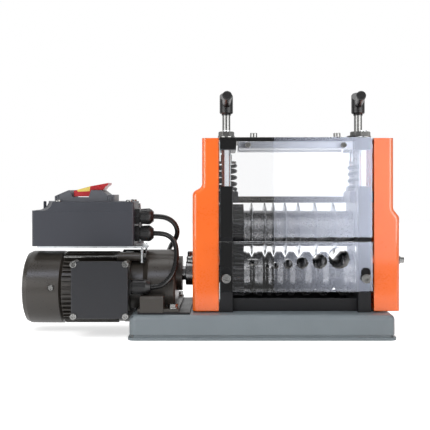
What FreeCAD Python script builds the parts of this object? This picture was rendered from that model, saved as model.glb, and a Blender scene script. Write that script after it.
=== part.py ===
import FreeCAD, Part
import math
import operator
import os
import Sketcher

# A bench machine that strips the insulation off scrap cable. A gearmotor turns a
# grooved feed roller, a pair of equal gears turns the bladed shaft above it, and
# two adjusting screws set how deep the blades reach into the grooves.
#
# Frame: X runs from the motor to the cutting head, -Y faces the user, Z is up.
# The origin lies on the floor under the middle of the whole machine.

doc = FreeCAD.newDocument("WireStrippingMachine")
sheet = doc.addObject("Spreadsheet::Sheet", "Sizes")


# Sizes and their arithmetic


class Size:
    """A number together with the spreadsheet expression that gives it."""

    def __init__(self, value, text):
        self.value = value
        self.text = text

    def __add__(self, other):
        return combined(self, "+", other, operator.add)

    def __radd__(self, other):
        return combined(other, "+", self, operator.add)

    def __sub__(self, other):
        return combined(self, "-", other, operator.sub)

    def __rsub__(self, other):
        return combined(other, "-", self, operator.sub)

    def __mul__(self, other):
        return combined(self, "*", other, operator.mul)

    def __rmul__(self, other):
        return combined(other, "*", self, operator.mul)

    def __truediv__(self, other):
        return combined(self, "/", other, operator.truediv)

    def __neg__(self):
        return Size(-self.value, "(0 - " + self.text + ")")


def as_size(thing):
    """The thing itself if it is a Size, else the plain number as one."""
    if isinstance(thing, Size):
        return thing
    return Size(float(thing), "(" + repr(float(thing)) + ")")


def combined(left, sign, right, work):
    a = as_size(left)
    b = as_size(right)
    return Size(work(a.value, b.value), "(" + a.text + " " + sign + " " + b.text + ")")


rows = []


def size(alias, value):
    """Writes one driving dimension into the sheet and returns it."""
    rows.append(alias)
    row = str(len(rows))
    sheet.set("A" + row, alias.replace("_", " "))
    sheet.set("B" + row, repr(float(value)))
    sheet.setAlias("B" + row, alias)
    return Size(float(value), "Sizes." + alias)


# Small sizes that many pieces share
edge_chamfer = size("edge_chamfer", 1)
sheet_edge = size("sheet_edge", 0.6)
bolt_head_edge = size("bolt_head_edge", 0.6)
thread_end_gap = size("thread_end_gap", 1)
cut_over = size("cut_over", 1)
corner_round = size("corner_round", 3)

# Head frame: two side walls, caps on pillars, plate and bars across the top
wall_spacing = size("wall_spacing", 212)
wall_thick = size("wall_thick", 20)
wall_depth = size("wall_depth", 130)
wall_top = size("wall_top", 231)
left_wall_x = size("left_wall_x", 22)
window_width = size("window_width", 76)
window_floor = size("window_floor", 126.5)
pillar_setback = size("pillar_setback", 13.5)
pillar_dia = size("pillar_dia", 14)
pillar_stud_dia = size("pillar_stud_dia", 12)
pillar_stud_in_wall = size("pillar_stud_in_wall", 14)
cap_bottom = size("cap_bottom", 287)
cap_top = size("cap_top", 306)
cap_overhang = size("cap_overhang", 5)
cap_boss_dia = size("cap_boss_dia", 27)
cap_boss_rise = size("cap_boss_rise", 6)
washer_thick = size("washer_thick", 2)
washer_dia = size("washer_dia", 24)
pillar_nut_flats = size("pillar_nut_flats", 19)
pillar_nut_rise = size("pillar_nut_rise", 7.5)
stud_over_nut = size("stud_over_nut", 2)
top_plate_thick = size("top_plate_thick", 6)
top_plate_lap = size("top_plate_lap", 6)
top_bar_width = size("top_bar_width", 12)
top_bar_height = size("top_bar_height", 12)
top_bar_end_gap = size("top_bar_end_gap", 4)
bar_edge = size("bar_edge", 0.8)
top_bolt_inset = size("top_bolt_inset", 27)
top_bolt_dia = size("top_bolt_dia", 6)
top_bolt_head_dia = size("top_bolt_head_dia", 11)
top_bolt_head_rise = size("top_bolt_head_rise", 7)
top_bolt_socket = size("top_bolt_socket", 5)
top_bolt_depth = size("top_bolt_depth", 9)
tie_rod_dia = size("tie_rod_dia", 11)
tie_rod_z = size("tie_rod_z", 209)
tie_rod_spigot_dia = size("tie_rod_spigot_dia", 8)
tie_rod_spigot = size("tie_rod_spigot", 12)

# Feed roller, bladed shaft, bearings and gears
lower_axis_z = size("lower_axis_z", 91.5)
gear_module = size("gear_module", 3)
gear_teeth = size("gear_teeth", 24)
gear_width = size("gear_width", 16.9)
gear_hub_gap = size("gear_hub_gap", 0.6)
gear_backlash = size("gear_backlash", 0.5)
shaft_dia = size("shaft_dia", 30)
blade_seat_dia = size("blade_seat_dia", 38)
bearing_dia = size("bearing_dia", 62)
bearing_width = size("bearing_width", 16)
bearing_lip = size("bearing_lip", 5)
roller_dia = size("roller_dia", 71)
roller_gap = size("roller_gap", 2)
blade_dia = size("blade_dia", 85)
blade_thick = size("blade_thick", 6)
blade_bevel = size("blade_bevel", 10)
blade_tip_thick = size("blade_tip_thick", 0.5)
spacer_dia = size("spacer_dia", 57)
running_gap = size("running_gap", 0.05)
body_gap = size("body_gap", 0.3)
bearing_race = size("bearing_race", 4)
bearing_shield_depth = size("bearing_shield_depth", 1)
groove_floor = size("groove_floor", 1.2)
shaft_over_wall = size("shaft_over_wall", 4)
roller_over_wall = size("roller_over_wall", 2)

# Adjusting screws, springs and sliding blocks
block_rise = size("block_rise", 42)
block_drop = size("block_drop", 35)
block_flange = size("block_flange", 4)
block_flange_lap = size("block_flange_lap", 6)
block_flange_inset = size("block_flange_inset", 4)
spring_seat_reach = size("spring_seat_reach", 18.5)
spring_seat_thick = size("spring_seat_thick", 18)
screw_dia = size("screw_dia", 13)
screw_shoulder_dia = size("screw_shoulder_dia", 18)
screw_shoulder_top = size("screw_shoulder_top", 282)
screw_collar_dia = size("screw_collar_dia", 32)
screw_collar_thick = size("screw_collar_thick", 4)
screw_tip_dia = size("screw_tip_dia", 14)
screw_tip_depth = size("screw_tip_depth", 12)
screw_tip_gap = size("screw_tip_gap", 0.5)
lock_nut_flats = size("lock_nut_flats", 22)
lock_nut_rise = size("lock_nut_rise", 7)
spring_dia = size("spring_dia", 35)
spring_wire = size("spring_wire", 5.8)
spring_turns = size("spring_turns", 3)
spring_top = size("spring_top", 267)
spring_end_gap = size("spring_end_gap", 0.8)
spring_end_turns = size("spring_end_turns", 0.5)

# Lever grips
grip_dia = size("grip_dia", 21.5)
grip_bottom = size("grip_bottom", 345)
grip_height = size("grip_height", 39)
grip_neck_dia = size("grip_neck_dia", 15)
grip_neck = size("grip_neck", 2.5)
grip_bore = size("grip_bore", 9)
arm_dia = size("arm_dia", 15)
arm_root_dia = size("arm_root_dia", 12.5)
arm_length = size("arm_length", 53)
arm_tilt = size("arm_tilt", 12)
arm_root_rise = size("arm_root_rise", 16)
grip_slant_drop = size("grip_slant_drop", 17)
grip_round = size("grip_round", 1.5)
arm_knob = size("arm_knob", 8)
left_arm_turn = size("left_arm_turn", 1.5)
right_arm_turn = size("right_arm_turn", -3.5)

# Clear guard and clear wire guide
guard_thick = size("guard_thick", 4)
guard_bottom = size("guard_bottom", 153)
guard_reach = size("guard_reach", 0.7)
guard_screw_inset = size("guard_screw_inset", 33)
guard_screw_dia = size("guard_screw_dia", 5)
guard_screw_head_dia = size("guard_screw_head_dia", 9)
guard_screw_head = size("guard_screw_head", 4.5)
guard_screw_socket = size("guard_screw_socket", 3.5)
guard_screw_depth = size("guard_screw_depth", 8)
guide_thick = size("guide_thick", 8)
guide_bottom = size("guide_bottom", 70)
guide_top = size("guide_top", 147)
guide_block_depth = size("guide_block_depth", 18.5)
guide_block_inset = size("guide_block_inset", 3.5)
guide_block_foot = size("guide_block_foot", 2)
guide_block_head = size("guide_block_head", 4)
guide_floor_z = size("guide_floor_z", 105.5)
guide_slot_width = size("guide_slot_width", 15)
guide_slot_height = size("guide_slot_height", 8)
guide_slot_z = size("guide_slot_z", 115)
guide_screw_z = size("guide_screw_z", 91)
guide_screw_dia = size("guide_screw_dia", 8)
guide_screw_head_dia = size("guide_screw_head_dia", 14)
guide_screw_head = size("guide_screw_head", 8)
guide_screw_depth = size("guide_screw_depth", 16)
guide_screw_socket = size("guide_screw_socket", 6)
keyhole_dia = size("keyhole_dia", 15)
keyhole_rise = size("keyhole_rise", 9)

# Side covers
cover_depth = size("cover_depth", 132)
cover_bottom = size("cover_bottom", 40)
cover_top = size("cover_top", 305)
cover_wall = size("cover_wall", 2.5)
cover_edge_round = size("cover_edge_round", 7)
cover_bend_round = size("cover_bend_round", 9)
coupling_hole_gap = size("coupling_hole_gap", 6)
left_cover_low_width = size("left_cover_low_width", 42)
left_cover_high_width = size("left_cover_high_width", 27.5)
left_cover_step_low = size("left_cover_step_low", 222)
left_cover_step_high = size("left_cover_step_high", 230)
left_cover_gap = size("left_cover_gap", 1.5)
right_cover_low_width = size("right_cover_low_width", 43.8)
right_cover_high_width = size("right_cover_high_width", 34.4)
right_cover_step_low = size("right_cover_step_low", 184)
right_cover_step_high = size("right_cover_step_high", 196)
right_cover_gap = size("right_cover_gap", 4)
cover_bolt_y = size("cover_bolt_y", 55)
cover_bolt_z = size("cover_bolt_z", 117.7)
cover_bolt_dia = size("cover_bolt_dia", 6)
cover_bolt_head_dia = size("cover_bolt_head_dia", 10)
cover_bolt_head = size("cover_bolt_head", 6)
cover_bolt_depth = size("cover_bolt_depth", 14)
cover_bolt_socket = size("cover_bolt_socket", 5)
cover_washer_dia = size("cover_washer_dia", 13)
cover_post_dia = size("cover_post_dia", 15)
bolt_hole_gap = size("bolt_hole_gap", 0.2)

# Base tray, chip tray and the screws that hold the walls down
base_length = size("base_length", 404.5)
base_depth = size("base_depth", 190)
base_height = size("base_height", 38)
base_sheet = size("base_sheet", 2.5)
base_middle_x = size("base_middle_x", 75.8)
base_lip = size("base_lip", 2)
base_lip_rise = size("base_lip_rise", 4)
base_groove = size("base_groove", 1.5)
base_groove_rise = size("base_groove_rise", 4)
base_edge_round = size("base_edge_round", 8)
base_corner_round = size("base_corner_round", 12)
wall_bolt_y = size("wall_bolt_y", 48)
wall_bolt_dia = size("wall_bolt_dia", 10)
wall_bolt_depth = size("wall_bolt_depth", 20)
wall_bolt_flats = size("wall_bolt_flats", 16)
wall_bolt_head = size("wall_bolt_head", 6.4)
chip_tray_sheet = size("chip_tray_sheet", 2)
chip_tray_front_y = size("chip_tray_front_y", -52)
chip_tray_rear_inset = size("chip_tray_rear_inset", 2)
chip_tray_top = size("chip_tray_top", 58)
chip_tray_bend = size("chip_tray_bend", 3)

# Gearmotor
gearbox_face_x = size("gearbox_face_x", -57)
gearbox_length = size("gearbox_length", 82)
motor_axis_z = size("motor_axis_z", 70)
motor_body_length = size("motor_body_length", 103)
motor_core_dia = size("motor_core_dia", 103)
fin_height = size("fin_height", 5.5)
fin_thick = size("fin_thick", 2)
fin_count = size("fin_count", 44)
fin_root = size("fin_root", 2)
fin_end_gap = size("fin_end_gap", 2)
end_shield_thick = size("end_shield_thick", 9)
end_shield_inset = size("end_shield_inset", 1)
rear_boss_inset = size("rear_boss_inset", 6)
rear_boss_slope = size("rear_boss_slope", 2)
rear_boss_length = size("rear_boss_length", 4)
cowl_seat_slope = size("cowl_seat_slope", 3)
cowl_seat_gap = size("cowl_seat_gap", 2)
fan_cover_dia = size("fan_cover_dia", 115)
fan_cover_length = size("fan_cover_length", 53.8)
fan_cover_lap = size("fan_cover_lap", 7)
fan_cover_sheet = size("fan_cover_sheet", 2)
fan_cover_round = size("fan_cover_round", 9)
cowl_screw_back = size("cowl_screw_back", 6.6)
cowl_screw_rise = size("cowl_screw_rise", 4.8)
cowl_screw_dia = size("cowl_screw_dia", 4)
cowl_screw_head_dia = size("cowl_screw_head_dia", 9)
cowl_screw_head = size("cowl_screw_head", 2.4)
cowl_screw_length = size("cowl_screw_length", 6)
cowl_dimple_dia = size("cowl_dimple_dia", 11)
cowl_dimple_depth = size("cowl_dimple_depth", 1)
cowl_lug_width = size("cowl_lug_width", 12)
cowl_lug_thick = size("cowl_lug_thick", 4)
cowl_lug_reach = size("cowl_lug_reach", 13)
cowl_lug_gap = size("cowl_lug_gap", 1.2)
cowl_slot_width = size("cowl_slot_width", 3.4)
cowl_slots = [
    (size("inner_slot_start", 12), size("inner_slot_end", 26), size("inner_slots", 12)),
    (size("outer_slot_start", 29), size("outer_slot_end", 45), size("outer_slots", 24)),
]
gearbox_dia = size("gearbox_dia", 112)
gearbox_top_dia = size("gearbox_top_dia", 76)
gearbox_end_thick = size("gearbox_end_thick", 10)
gearbox_ring = size("gearbox_ring", 11)
gearbox_waist_dia = size("gearbox_waist_dia", 96)
gearbox_waist_end = size("gearbox_waist_end", 31)
gearbox_shoulder = size("gearbox_shoulder", 8)
gearbox_bulge_lap = size("gearbox_bulge_lap", 4)
gearbox_end_edge = size("gearbox_end_edge", 3)
bulge_step = size("bulge_step", 2)
output_end_gap = size("output_end_gap", 1)
boss_dia = size("boss_dia", 55)
boss_length = size("boss_length", 9)
output_dia = size("output_dia", 22)
coupling_dia = size("coupling_dia", 38)
coupling_length = size("coupling_length", 40)
coupling_reach = size("coupling_reach", 35)
coupling_end_gap = size("coupling_end_gap", 15)
coupling_bolt_inset = size("coupling_bolt_inset", 6)
coupling_bolt_reach = size("coupling_bolt_reach", 35)
coupling_bolt_flats = size("coupling_bolt_flats", 7)
coupling_nut_flats = size("coupling_nut_flats", 10)
coupling_nut_rise = size("coupling_nut_rise", 8)
coupling_nut_root = size("coupling_nut_root", 3)
output_seat_depth = size("output_seat_depth", 6)
tie_boss_dia = size("tie_boss_dia", 13)
tie_boss_y = size("tie_boss_y", 35)
tie_boss_z = size("tie_boss_z", 120.5)
tie_boss_end = size("tie_boss_end", 28)
through_rod_dia = size("through_rod_dia", 4)
through_rod_flats = size("through_rod_flats", 6)
through_rod_start = size("through_rod_start", 3)
tab_bolt_dia = size("tab_bolt_dia", 6)
tab_bolt_flats = size("tab_bolt_flats", 10)
tab_bolt_head = size("tab_bolt_head", 5)
foot_width = size("foot_width", 35)
foot_depth = size("foot_depth", 176)
foot_height = size("foot_height", 24)
foot_start = size("foot_start", 31)
foot_edge = size("foot_edge", 3)
foot_flange = size("foot_flange", 5)
foot_flange_inset = size("foot_flange_inset", 4)
foot_flange_start = size("foot_flange_start", 27)
foot_flange_width = size("foot_flange_width", 62)
foot_bolt_inset = size("foot_bolt_inset", 9)
foot_bolt_y = size("foot_bolt_y", 76)
foot_bolt_dia = size("foot_bolt_dia", 8)
foot_stud_y = size("foot_stud_y", 60)
foot_stud_depth = size("foot_stud_depth", 16)
foot_bolt_flats = size("foot_bolt_flats", 13)
foot_bolt_head = size("foot_bolt_head", 5.3)
foot_nut_rise = size("foot_nut_rise", 6)
foot_washer_thick = size("foot_washer_thick", 1.6)
foot_washer_dia = size("foot_washer_dia", 16)
motor_plate_thick = size("motor_plate_thick", 3)
motor_plate_start = size("motor_plate_start", -112)
motor_plate_end = size("motor_plate_end", -33)
motor_plate_depth = size("motor_plate_depth", 172)
fan_dia = size("fan_dia", 96)
fan_width = size("fan_width", 24)
fan_blades = size("fan_blades", 8)
fan_start = size("fan_start", -8)
fan_disc_thick = size("fan_disc_thick", 2)
fan_disc_inset = size("fan_disc_inset", 4)
fan_hub_dia = size("fan_hub_dia", 28)
fan_vane_thick = size("fan_vane_thick", 2)
fan_vane_root = size("fan_vane_root", 2)
motor_shaft_dia = size("motor_shaft_dia", 14)
motor_shaft_over_fan = size("motor_shaft_over_fan", 8)

# Terminal box, switch box and its bracket
terminal_middle_x = size("terminal_middle_x", -168.4)
terminal_middle_z = size("terminal_middle_z", 75)
terminal_cover_size = size("terminal_cover_size", 85.5)
terminal_cover_thick = size("terminal_cover_thick", 7)
terminal_box_size = size("terminal_box_size", 78)
terminal_box_front = size("terminal_box_front", -85)
terminal_box_back = size("terminal_box_back", -57.5)
terminal_wall = size("terminal_wall", 4)
terminal_seat_size = size("terminal_seat_size", 56)
terminal_box_round = size("terminal_box_round", 6)
terminal_cover_round = size("terminal_cover_round", 5)
terminal_cover_edge = size("terminal_cover_edge", 1.8)
terminal_post_dia = size("terminal_post_dia", 9)
terminal_screw_inset = size("terminal_screw_inset", 3.75)
terminal_screw_dia = size("terminal_screw_dia", 4)
terminal_screw_head_dia = size("terminal_screw_head_dia", 10)
terminal_screw_head = size("terminal_screw_head", 2.8)
terminal_screw_depth = size("terminal_screw_depth", 9)
cross_length = size("cross_length", 6)
cross_width = size("cross_width", 1.4)
cross_depth = size("cross_depth", 1.4)
box_left_x = size("box_left_x", -283)
box_right_x = size("box_right_x", -123)
box_front_y = size("box_front_y", -36)
box_depth = size("box_depth", 80)
box_bottom = size("box_bottom", 137)
box_joint = size("box_joint", 191)
box_top = size("box_top", 207)
box_wall = size("box_wall", 3)
box_corner_round = size("box_corner_round", 4)
lid_edge_round = size("lid_edge_round", 1.5)
lid_screw_left = size("lid_screw_left", 40)
lid_screw_right = size("lid_screw_right", 8)
lid_screw_inset = size("lid_screw_inset", 8)
lid_screw_length = size("lid_screw_length", 24)
lid_screw_depth = size("lid_screw_depth", 12)
lid_post_dia = size("lid_post_dia", 12)
lid_scoop_radius = size("lid_scoop_radius", 15)
lid_scoop_front = size("lid_scoop_front", 17)
lid_scoop_turn = size("lid_scoop_turn", 16)
lid_scoop_floor = size("lid_scoop_floor", 2)
lid_scoop_reach = size("lid_scoop_reach", 60)
lid_scoop_rise = size("lid_scoop_rise", 20)
bracket_sheet = size("bracket_sheet", 2.5)
bracket_shelf_past_tab = size("bracket_shelf_past_tab", 10)
bracket_back_top = size("bracket_back_top", 203)
bracket_tab_width = size("bracket_tab_width", 14)
bracket_tab_below = size("bracket_tab_below", 9)
bracket_left_inset = size("bracket_left_inset", 9)
bracket_right_over = size("bracket_right_over", 8)
bracket_top_over = size("bracket_top_over", 2)
bracket_nose_depth = size("bracket_nose_depth", 22)
gland_hex = size("gland_hex", 24)
gland_dia = size("gland_dia", 26)
gland_length = size("gland_length", 29)
cord_gland_z = size("cord_gland_z", 183)
lead_gland_z = size("lead_gland_z", 156)
box_gland_y = size("box_gland_y", -10)
motor_gland_y = size("motor_gland_y", -70)
motor_gland_z = size("motor_gland_z", 77.5)
motor_gland_length = size("motor_gland_length", 36)
motor_gland_dia = size("motor_gland_dia", 23)
motor_gland_hex = size("motor_gland_hex", 22)
gland_hex_length = size("gland_hex_length", 7)
gland_neck_inset = size("gland_neck_inset", 3)
gland_neck_end = size("gland_neck_end", 9)
gland_nose_wall = size("gland_nose_wall", 4)
gland_nose_length = size("gland_nose_length", 4)
gland_dome = size("gland_dome", 3)
gland_taper = size("gland_taper", 0.8)
gland_dome_inset = size("gland_dome_inset", 1.5)
gland_notches = size("gland_notches", 14)
gland_notch_width = size("gland_notch_width", 2.2)
gland_notch_depth = size("gland_notch_depth", 1.2)
gland_notch_end = size("gland_notch_end", 10)
cord_dia = size("cord_dia", 8)
cord_floor_gap = size("cord_floor_gap", 0.1)
coil_layer_gap = size("coil_layer_gap", 0.6)
coil_turn_in = size("coil_turn_in", 1.2)
coil_last_run = size("coil_last_run", 29)
switch_left_x = size("switch_left_x", -249.5)
switch_length = size("switch_length", 94.5)
switch_width = size("switch_width", 54)
switch_rise = size("switch_rise", 18)
switch_end_rise = size("switch_end_rise", 10.5)
switch_end_length = size("switch_end_length", 11)
switch_slope = size("switch_slope", 10)
switch_nose_rise = size("switch_nose_rise", 8.5)
switch_nose_edge = size("switch_nose_edge", 1.5)
switch_nose_length = size("switch_nose_length", 22)
switch_notch_start = size("switch_notch_start", 24)
switch_notch_end = size("switch_notch_end", 57.5)
switch_notch_slant = size("switch_notch_slant", 4)
switch_notch_depth = size("switch_notch_depth", 11.5)
switch_rib_width = size("switch_rib_width", 1.2)
switch_ribs = [
    size("switch_rib_1", 2.5),
    size("switch_rib_2", 5.5),
    size("switch_rib_3", 83.5),
    size("switch_rib_4", 87),
    size("switch_rib_5", 90.5),
]
paddle_width = size("paddle_width", 40)
paddle_gap = size("paddle_gap", 0.4)
paddle_foot_start = size("paddle_foot_start", 29.6)
paddle_foot_end = size("paddle_foot_end", 53)
paddle_foot_drop = size("paddle_foot_drop", 10)
paddle_front = size("paddle_front", 28.6)
paddle_front_drop = size("paddle_front_drop", 1.5)
paddle_under_start = size("paddle_under_start", 57)
paddle_under_end = size("paddle_under_end", 75.5)
paddle_lip_x = size("paddle_lip_x", 79)
paddle_lip_rise = size("paddle_lip_rise", 5.5)
paddle_tip_x = size("paddle_tip_x", 83)
paddle_tip_low = size("paddle_tip_low", 8)
paddle_tip_high = size("paddle_tip_high", 11.5)
paddle_tip_over = size("paddle_tip_over", 0.7)
inlay_start = size("inlay_start", 34)
inlay_start_rise = size("inlay_start_rise", 0.5)
inlay_end = size("inlay_end", 55)
inlay_end_rise = size("inlay_end_rise", 6.2)
inlay_floor_start = size("inlay_floor_start", 35)
inlay_floor_start_drop = size("inlay_floor_start_drop", 2.6)
inlay_floor_end = size("inlay_floor_end", 54)
inlay_floor_end_drop = size("inlay_floor_end_drop", 1.6)
paddle_roof_gap = size("paddle_roof_gap", 0.8)
paddle_room_along = size("paddle_room_along", 2.5)
paddle_room_across = size("paddle_room_across", 2)
button_dia = size("button_dia", 12)
button_rise = size("button_rise", 2.5)
button_depth = size("button_depth", 9)
button_travel = size("button_travel", 2)
button_x = size("button_x", -184)
button_apart = size("button_apart", 18)
plug_length = size("plug_length", 42)
plug_pin_dia = size("plug_pin_dia", 4.8)
plug_pin_length = size("plug_pin_length", 19)
plug_pin_apart = size("plug_pin_apart", 19)
plug_dia = size("plug_dia", 36)
plug_neck_wall = size("plug_neck_wall", 2.5)
plug_neck_length = size("plug_neck_length", 10)
plug_neck_taper = size("plug_neck_taper", 1.5)
plug_body_length = size("plug_body_length", 16)
plug_body_edge = size("plug_body_edge", 2)
coil_loop_dia = size("coil_loop_dia", 84)
coil_pitch = size("coil_pitch", 9)
coil_spread = size("coil_spread", 22.5)
coil_x = size("coil_x", -178)
coil_y = size("coil_y", 205)

doc.recompute()

# Places that follow from the sizes above
right_wall_x = left_wall_x + wall_spacing
head_middle_x = left_wall_x + wall_spacing / 2
wall_front = -(wall_depth / 2)
wall_height = wall_top - base_height
pillar_y = wall_depth / 2 - pillar_setback
upper_axis_z = lower_axis_z + gear_module * gear_teeth
motor_left_x = gearbox_face_x - gearbox_length - motor_body_length
motor_right_x = gearbox_face_x - gearbox_length
fan_end_x = motor_left_x - fan_cover_length
block_top = upper_axis_z + block_rise + spring_seat_thick

# The seven cable channels, from the middle of the left wall: place of the blade,
# width and depth of the roller's groove, and size of the hole in the wire guide


def channel(number, place, width, depth, hole):
    """One cable channel's sizes, written under its number. The flat channel has no round hole."""
    mark = str(number)
    return (
        size("channel_" + mark + "_x", place),
        size("groove_" + mark + "_width", width),
        size("groove_" + mark + "_depth", depth),
        size("hole_" + mark + "_dia", hole) if hole else None,
    )


channels = [
    channel(1, 40.5, 9, 8, None),
    channel(2, 61.5, 9, 8, 7.3),
    channel(3, 75.3, 9, 8, 9.2),
    channel(4, 94, 11, 8.5, 13.8),
    channel(5, 115.3, 16, 10, 17.8),
    channel(6, 142, 18, 11, 22.3),
    channel(7, 171.5, 24, 13, 31.5),
]
flat_channel_width = size("flat_channel_width", 18)
flat_channel_depth = size("flat_channel_depth", 1.5)
doc.recompute()


# Sketches


def bind(thing, path, wanted):
    """Ties a property or constraint to the sheet, or just sets a plain number."""
    thing.setExpression(path, as_size(wanted).text)


def fix_point(sketch, geometry, end, x, y):
    """Dimensions a point of a sketch from the sketch's own origin."""
    for kind, wanted in (("DistanceX", as_size(x)), ("DistanceY", as_size(y))):
        index = sketch.addConstraint(Sketcher.Constraint(kind, -1, 1, geometry, end, wanted.value))
        bind(sketch, "Constraints[" + str(index) + "]", wanted)


def polygon(corners):
    """A closed outline through the corners."""

    def draw(sketch):
        first = sketch.GeometryCount
        points = [FreeCAD.Vector(as_size(x).value, as_size(y).value, 0) for x, y in corners]
        for start, end in zip(points, points[1:] + points[:1]):
            sketch.addGeometry(Part.LineSegment(start, end), False)
        count = len(points)
        for i in range(count):
            follows = first + (i + 1) % count
            sketch.addConstraint(Sketcher.Constraint("Coincident", first + i, 2, follows, 1))
        for i, (x, y) in enumerate(corners):
            fix_point(sketch, first + i, 1, x, y)

    return draw


def rectangle(x0, y0, x1, y1):
    return polygon([(x0, y0), (x1, y0), (x1, y1), (x0, y1)])


def circle(x, y, dia):
    def draw(sketch):
        middle = FreeCAD.Vector(as_size(x).value, as_size(y).value, 0)
        radius = as_size(dia) / 2
        index = sketch.addGeometry(Part.Circle(middle, FreeCAD.Vector(0, 0, 1), radius.value), False)
        fix_point(sketch, index, 3, x, y)
        size_index = sketch.addConstraint(Sketcher.Constraint("Radius", index, radius.value))
        bind(sketch, "Constraints[" + str(size_index) + "]", radius)

    return draw


def hexagon(x, y, flats, turned=False):
    """A nut's outline, by its width across flats."""
    radius = as_size(flats) / math.sqrt(3)
    start = 30 if turned else 0
    angles = [math.radians(start + 60 * i) for i in range(6)]
    return polygon([(as_size(x) + radius * math.cos(a), as_size(y) + radius * math.sin(a)) for a in angles])


# Pieces made as bodies of sketched features


def origin_plane(body, role):
    return [item for item in body.Origin.OriginFeatures if item.Role == role][0]


class Piece:
    """One body: sketches on its own planes, features on the sketches."""

    def __init__(self, label, x=0, y=0, z=0):
        self.body = doc.addObject("PartDesign::Body", label)
        self.body.Label = label
        self.label = label
        for axis, wanted in zip("xyz", (x, y, z)):
            bind(self.body, "Placement.Base." + axis, wanted)

    def sketch(self, plane, level, outlines):
        made = self.body.newObject("Sketcher::SketchObject", self.label + "_outline")
        made.AttachmentSupport = [(origin_plane(self.body, plane + "_Plane"), "")]
        made.MapMode = "FlatFace"
        offset = -as_size(level) if plane == "XZ" else as_size(level)
        bind(made, "AttachmentOffset.Base.z", offset)
        for outline in outlines:
            outline(made)
        return made

    def feature(self, kind, profile):
        made = self.body.newObject("PartDesign::" + kind, self.label + "_" + kind.lower())
        made.Profile = profile
        return made

    def pad(self, plane, level, depth, *outlines):
        """Adds material from a level on, towards plus X, Y or Z."""
        made = self.feature("Pad", self.sketch(plane, level, outlines))
        made.Reversed = plane == "XZ"
        bind(made, "Length", depth)
        return made

    def cut(self, plane, level, depth, *outlines):
        """Takes material away from a level on, towards plus X, Y or Z."""
        made = self.feature("Pocket", self.sketch(plane, level, outlines))
        made.Reversed = plane != "XZ"
        bind(made, "Length", depth)
        return made

    def turn(self, axis, *outlines):
        """A solid of revolution: the outline holds places along the axis and radii."""
        plane, line = {"X": ("XZ", "H_Axis"), "Y": ("YZ", "H_Axis"), "Z": ("XZ", "V_Axis")}[axis]
        profile = self.sketch(plane, 0, outlines)
        made = self.feature("Revolution", profile)
        made.ReferenceAxis = (profile, [line])
        made.Angle = 360
        return made

    def groove(self, axis, *outlines):
        """Takes away a solid of revolution."""
        plane, line = {"X": ("XZ", "H_Axis"), "Y": ("YZ", "H_Axis"), "Z": ("XZ", "V_Axis")}[axis]
        profile = self.sketch(plane, 0, outlines)
        made = self.feature("Groove", profile)
        made.ReferenceAxis = (profile, [line])
        made.Angle = 360
        return made

    def edges(self, chosen):
        doc.recompute()
        return ["Edge" + str(i + 1) for i, edge in enumerate(self.body.Tip.Shape.Edges) if chosen(edge)]

    def soften(self, kind, amount, chosen):
        """Rounds or chamfers the chosen edges."""
        names = self.edges(chosen)
        base = self.body.Tip
        made = self.body.newObject("PartDesign::" + kind, self.label + "_" + kind.lower())
        made.Base = (base, names)
        bind(made, "Radius" if kind == "Fillet" else "Size", amount)
        return made

    def polar(self, feature, axis, count):
        """Repeats a feature round one of the body's own axes."""
        doc.recompute()
        made = self.body.newObject("PartDesign::PolarPattern", self.label + "_polar")
        made.Originals = [feature]
        made.Axis = (origin_plane(self.body, axis + "_Axis"), [""])
        made.Angle = 360
        bind(made, "Occurrences", count)
        self.body.Tip = made
        return made


def runs_along(axis):
    """Straight edges along X, Y or Z."""

    def chosen(edge):
        if len(edge.Vertexes) != 2 or edge.Curve.TypeId != "Part::GeomLine":
            return False
        step = edge.Vertexes[1].Point - edge.Vertexes[0].Point
        return abs(abs(getattr(step.normalize(), axis)) - 1) < 1e-6

    return chosen


def lies_at(axis, level, slack=0.01):
    """Edges whose whole length lies at one level of X, Y or Z."""
    place = as_size(level).value

    def chosen(edge):
        box = edge.BoundBox
        low = getattr(box, axis.upper() + "Min")
        high = getattr(box, axis.upper() + "Max")
        return abs(low - place) < slack and abs(high - place) < slack

    return chosen


def both(*rules):
    return lambda edge: all(rule(edge) for rule in rules)


def either(*rules):
    return lambda edge: any(rule(edge) for rule in rules)


# Groups of like solids, and pieces made of plain primitives


def copy_of(template, label, x, y, z, axis=(0, 0, 1), angle=0):
    """A linked copy of a body, turned and then placed."""
    made = doc.addObject("App::Link", label)
    made.LinkedObject = template.body if isinstance(template, Piece) else template
    turn = FreeCAD.Rotation(FreeCAD.Vector(*axis), angle)
    made.Placement = FreeCAD.Placement(FreeCAD.Vector(0, 0, 0), turn)
    for name, wanted in zip("xyz", (x, y, z)):
        bind(made, "Placement.Base." + name, wanted)
    return made


def group(label, members):
    made = doc.addObject("Part::Compound", label)
    made.Label = label
    made.Links = [m.body if isinstance(m, Piece) else m for m in members]
    return made


def shaped(label, shape):
    """A piece whose shape is worked out from the sheet's values."""
    made = doc.addObject("Part::Feature", label)
    made.Label = label
    made.Shape = shape
    return made


def bolt(label, shank_dia, shank, head_dia, head, socket):
    """A socket-head bolt along Z: the head stands on the plane Z = 0, the shank hangs below."""
    made = Piece(label)
    made.turn(
        "Z",
        polygon(
            [
                (0, -as_size(shank)),
                (as_size(shank_dia) / 2, -as_size(shank)),
                (as_size(shank_dia) / 2, 0),
                (as_size(head_dia) / 2, 0),
                (as_size(head_dia) / 2, as_size(head) - bolt_head_edge),
                (as_size(head_dia) / 2 - bolt_head_edge, head),
                (0, head),
            ]
        ),
    )
    made.cut("XY", as_size(head) / 2, as_size(head) / 2, hexagon(0, 0, socket))
    return made


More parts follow.
